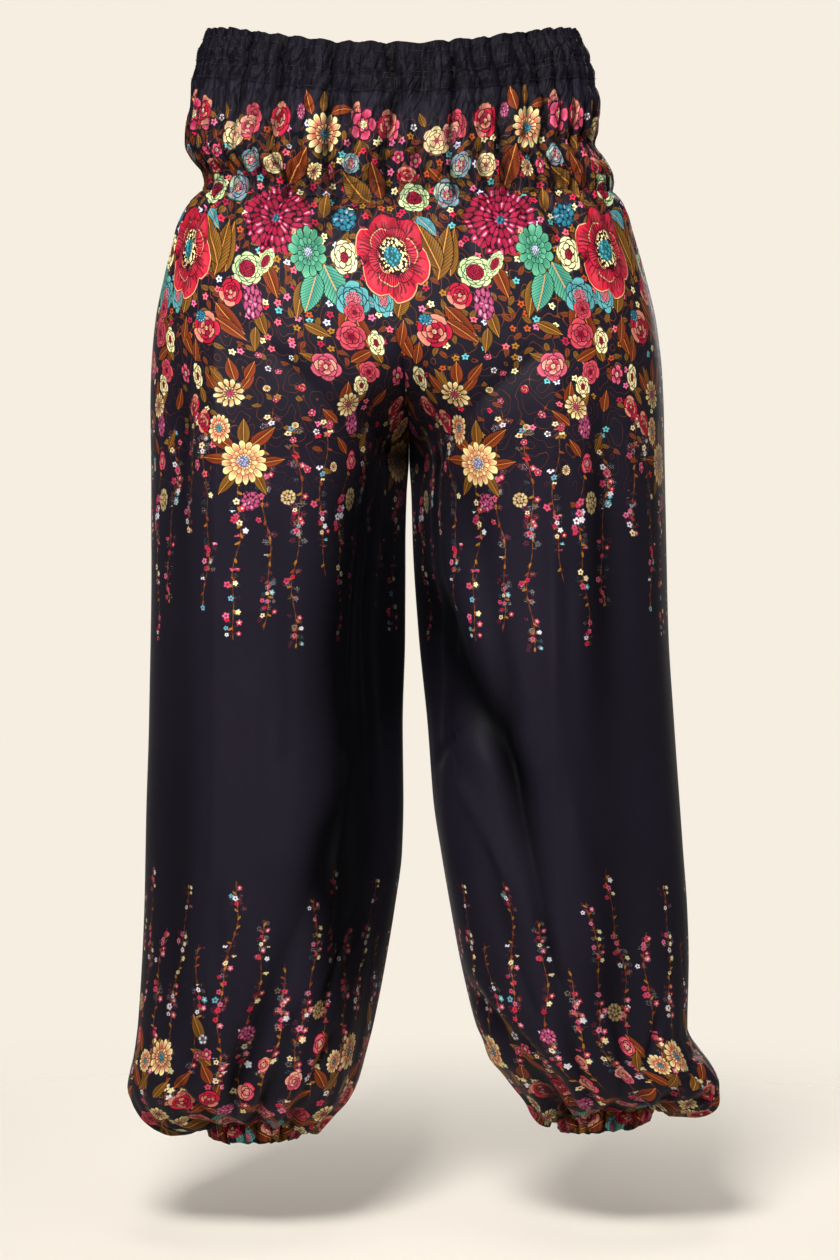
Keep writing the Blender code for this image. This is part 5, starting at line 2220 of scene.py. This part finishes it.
@dataclass(frozen=True)
class NavyCloth:
    """Plain navy viscose: a soft crepe ground with fine weave."""

    name: str
    ground: str = "#17141c"
    lighter: str = "#1d1924"
    roughness: float = 0.55
    specular: float = 0.06
    hollow_shade: float = 0.92    # painted shade: how much darker the bottom of a deep fold is
    pinch_shade: float = 0.50     # painted shade: how much darker a fine pinched crease is
    grain: float = 700.0          # lumps to the metre: the weave
    crepe: float = 160.0          # its fine crinkle
    slub: float = 26.0            # thicker threads
    patches: float = 9.0          # uneven dye
    waist: tuple[float, float] = (118.0, 185.0)    # length over which the waist's wrinkles run out
    hem: tuple[float, float] = (970.0, 1012.0)     # length over which the ankle's set in

    def finish(self, b: Board, shader: bpy.types.Node, shade: Wire) -> None:
        """Connect a colour and the cloth's surface to a shader, with painted shade in folds and creases and
        painted light and shade on wrinkles.

        Args:
            b: The board.
            shader: The shader.
            shade: The cloth's colour.
        """
        at = b.node("ShaderNodeTexCoord", output="Object")
        grain, crepe, slub = (b.noise(at, lumps, detail) for lumps, detail in
                              ((self.grain, 1.0), (self.crepe, 2.0), (self.slub, 2.0)))
        # painted shade: the colour darkens towards the bottom of deep folds, by the piece's hollow
        # attribute
        shadow = 1.0 - self.hollow_shade * (b.attribute("hollow", output="Fac") ** 1.25)
        x, down, _ = b.split(b.attribute("cloth"))
        wrinkles = b.noise(b.join(x * 0.26, down * 0.05, 0.0), 1.0, 3.0, 0.4)
        near = (1.0 - down.eased(*self.waist)).max(down.eased(*self.hem) * 0.8)
        pinches = b.noise(b.join(x * 0.082 + down * 0.021, down * 0.026, 4.0), 1.0, 1.5)
        pinched = 1.0 - (pinches - 0.5).abs().eased(0.0, 0.080)
        height = grain * 0.08 + crepe * 0.2 + (wrinkles * 2.4 - pinched * 0.9) * near
        # painted shade in the fine pinched creases near the waist and the ankles
        shadow = shadow * (1.0 - self.pinch_shade * pinched * near)
        # slub and crepe vary the cloth's own tone; the wrinkles' term is painted light on their crests and
        # painted shade in their troughs, near the waist and the ankles
        lit = 0.90 + 0.16 * slub + 0.14 * crepe + 0.7 * (wrinkles - 0.5) * near
        shade = b.scale(shade, lit * shadow)
        bump = b.node("ShaderNodeBump", {"Height": height, "Strength": 0.8, "Distance": 0.0008})
        rough = self.roughness - 0.04 + 0.10 * crepe
        for socket, wire in (("Base Color", shade), ("Roughness", rough), ("Normal", bump)):
            b.tree.links.new(wire.socket, shader.inputs[socket])
        shader.inputs["Specular IOR Level"].default_value = self.specular
        shader.inputs["Sheen Weight"].default_value = 0.015
        shader.inputs["Sheen Roughness"].default_value = 0.45
        shader.inputs["Sheen Tint"].default_value = (0.62, 0.62, 0.80, 1.0)

    def ground_colour(self, b: Board) -> Wire:
        """The navy ground, with broad uneven patches."""
        patchy = b.noise(b.node("ShaderNodeTexCoord", output="Object"), self.patches, 1.0)
        return b.mix(colour(self.ground), colour(self.lighter), patchy)

    def build(self) -> bpy.types.Material:
        """Make the material.

        Returns:
            The material.
        """
        material = bpy.data.materials.new(self.name)
        material.use_nodes = True
        board = Board(material.node_tree)
        shader = material.node_tree.nodes["Principled BSDF"]
        self.finish(board, shader, self.ground_colour(board))
        return material


@dataclass(frozen=True)
class PrintedCloth:
    """The same cloth with the print; the side worn inward shows it paler."""

    name: str
    groups: dict[str, bpy.types.NodeTree]
    layers: dict[str, int]
    worn_side: bool = True
    paleness: float = 0.62    # how far the side worn inward fades towards the ground
    LINK = (0.0, 0.0, 1e-6)   # makes each layer wait for the one below, which keeps the shader small

    def build(self) -> bpy.types.Material:
        """Make the material, one layer of the print over another.

        Returns:
            The material.
        """
        cloth = NavyCloth(self.name)
        material = bpy.data.materials.new(self.name)
        material.use_nodes = True
        b = Board(material.node_tree)
        ground = cloth.ground_colour(b)
        shade = ground
        order = ["cloth"]
        for kind, count in self.layers.items():
            top = Print.LAYERS[kind]
            order += [f"{kind}_{level}" for level in range(top - count, top)]
        for name in order:
            kind = "filler" if name == "cloth" else name.split("_")[0]
            place = b.node("ShaderNodeVectorMath", [shade, self.LINK, b.attribute(name)],
                           operation="MULTIPLY_ADD")
            drawn = b.node("ShaderNodeGroup", [place], node_tree=self.groups[kind])
            cover = Wire(b, drawn.socket.node.outputs["Cover"])
            shade = b.mix(shade, drawn, cover)
        if not self.worn_side:
            shade = b.mix(shade, ground, self.paleness)
        cloth.finish(b, material.node_tree.nodes["Principled BSDF"], shade)
        return material


@dataclass(frozen=True)
class Studio:
    """A pale floor that fades into a pale room, soft light and the camera."""

    eye: tuple[float, float, float] = (0.0246, -3.4, -0.341)
    aim: tuple[float, float, float] = (0.0246, 0.0, -0.504)
    lens: float = 110.5
    room: str = "#f8f0e3"
    floor: str = "#e9e1d6"
    dim: float = 0.08             # brightness of the ceiling
    around: float = 0.18          # brightness of the walls, but for the lit one
    far_wall: float = 0.98
    paper_glow: float = 0.17      # lifts the shaded floor, as the bright room does

    def build(self) -> None:
        """Put everything in its place."""
        scene = bpy.context.scene
        scene.view_settings.view_transform = "Standard"
        self.build_room(scene)
        self.build_floor()
        self.add_light("key", (-0.45, -2.4, 1.15), 0.8, 11.6, aim=-0.40, spread=50.0)
        self.add_light("fill", (1.6, -2.9, 0.0), 1.0, 5.0)
        self.add_light("top", (0.0, -0.6, 2.0), 1.2, 16.0)
        self.add_light("front", (0.9, 2.9, 0.5), 1.4, 40.0)
        camera = bpy.data.objects.new("camera", bpy.data.cameras.new("camera"))
        scene.collection.objects.link(camera)
        camera.location = self.eye
        camera.rotation_euler = (Vector(self.aim) - Vector(self.eye)).to_track_quat("-Z", "Y").to_euler()
        camera.data.lens = self.lens
        camera.data.sensor_width = 36.0
        camera.data.clip_end = 50.0
        scene.camera = camera

    def build_room(self, scene: bpy.types.Scene) -> None:
        """The room: a bright wall on the far side and dimmer walls all round.

        Args:
            scene: The scene.
        """
        world = bpy.data.worlds.new("room")
        scene.world = world
        world.use_nodes = True
        board = Board(world.node_tree)
        direction = board.node("ShaderNodeTexCoord", output="Generated")
        _, towards, up = board.split(direction)
        walls = self.dim + (self.around - self.dim) * (1.0 - up.abs().eased(0.25, 0.7))
        lit = towards.eased(0.80, 0.96)
        strength = walls * (1.0 - lit) + self.far_wall * lit
        shade = board.scale(colour(self.room)[:3], strength)
        background = world.node_tree.nodes["Background"]
        world.node_tree.links.new(shade.socket, background.inputs["Color"])

    def build_floor(self) -> None:
        """The floor: a round sheet of paper that fades out towards its edge."""
        deselect()
        bpy.ops.mesh.primitive_circle_add(vertices=96, radius=2.2, fill_type="TRIFAN",
                                          location=(0, 0, -FLOOR_DROP * MM))
        ground = bpy.context.active_object
        ground.name = "floor"
        material = bpy.data.materials.new("floor_paper")
        material.use_nodes = True
        board = Board(material.node_tree)
        shader = material.node_tree.nodes["Principled BSDF"]
        x, y, _ = board.split(board.node("ShaderNodeTexCoord", output="Object"))
        cover = 1.0 - (x * x + y * y).root().eased(0.35, 1.25)
        board.tree.links.new(cover.socket, shader.inputs["Alpha"])
        shader.inputs["Base Color"].default_value = colour(self.floor)
        shader.inputs["Emission Color"].default_value = colour(self.floor)
        shader.inputs["Emission Strength"].default_value = self.paper_glow
        shader.inputs["Roughness"].default_value = 0.9
        shader.inputs["Specular IOR Level"].default_value = 0.1
        ground.data.materials.append(material)

    def add_light(self, name: str, place: tuple[float, float, float], size: float, power: float,
                  aim: float = -0.5, spread: float = 180.0) -> None:
        """A soft square light.

        Args:
            name: Its name.
            place: Where it stands.
            size: Length of its sides.
            power: In watts.
            aim: Height of the point that it faces, on the trousers' axis.
            spread: Degrees that a grid in front lets it shine across.
        """
        data = bpy.data.lights.new(name, "AREA")
        data.spread = radians(spread)
        data.size = size
        data.energy = power
        lamp = bpy.data.objects.new(name, data)
        lamp.location = place
        lamp.rotation_euler = (Vector((0, 0, aim)) - Vector(place)).to_track_quat("-Z", "Y").to_euler()
        bpy.context.scene.collection.objects.link(lamp)


def main() -> None:
    """Build every piece in order and report each."""
    logging.basicConfig(level=logging.INFO, format="%(message)s")
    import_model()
    printing = Print()
    strips = (
        TrunkStrip("waist_casing", CASING_TOP, CHANNEL_TOP, 1.6, "casing_cloth", turned=True),
        TrunkStrip("waist_channel", CHANNEL_TOP, YOKE_TOP, 1.6, "casing_cloth"),
        TrunkStrip("hip_yoke", YOKE_TOP, BAND_TOP, 2.0, "printed_cloth"),
        TrunkStrip("hip_band", BAND_TOP, LEG_TOP, 1.6, "printed_cloth"),
    )
    for strip in strips:
        for face in Face:
            log.info("built %s", strip.half(face, printing).name)
    sewn = (
        StitchRow(strips[0], (-11.0, -1.0, 7.5)),
        StitchRow(strips[1], (12.5, 23.5)),
        StitchRow(strips[3], (107.5, 118.5)),
    )
    for rows in sewn:
        for face in Face:
            log.info("sewn %s", rows.build(face, printing.thread).name)
    cuffs = (AnkleCasing(Side.LEFT, 121.0, 932.0, 0.0), AnkleCasing(Side.RIGHT, 188.0, 922.0, -0.13))
    for cuff in cuffs:
        form = LegForm.of_side(cuff.side, cuff.centre)
        for face in Face:
            log.info("built %s", LegPanel(form, face).build(printing).name)
        log.info("built %s", cuff.build(printing).name)
    Studio().build()


if __name__ == "__main__":
    main()
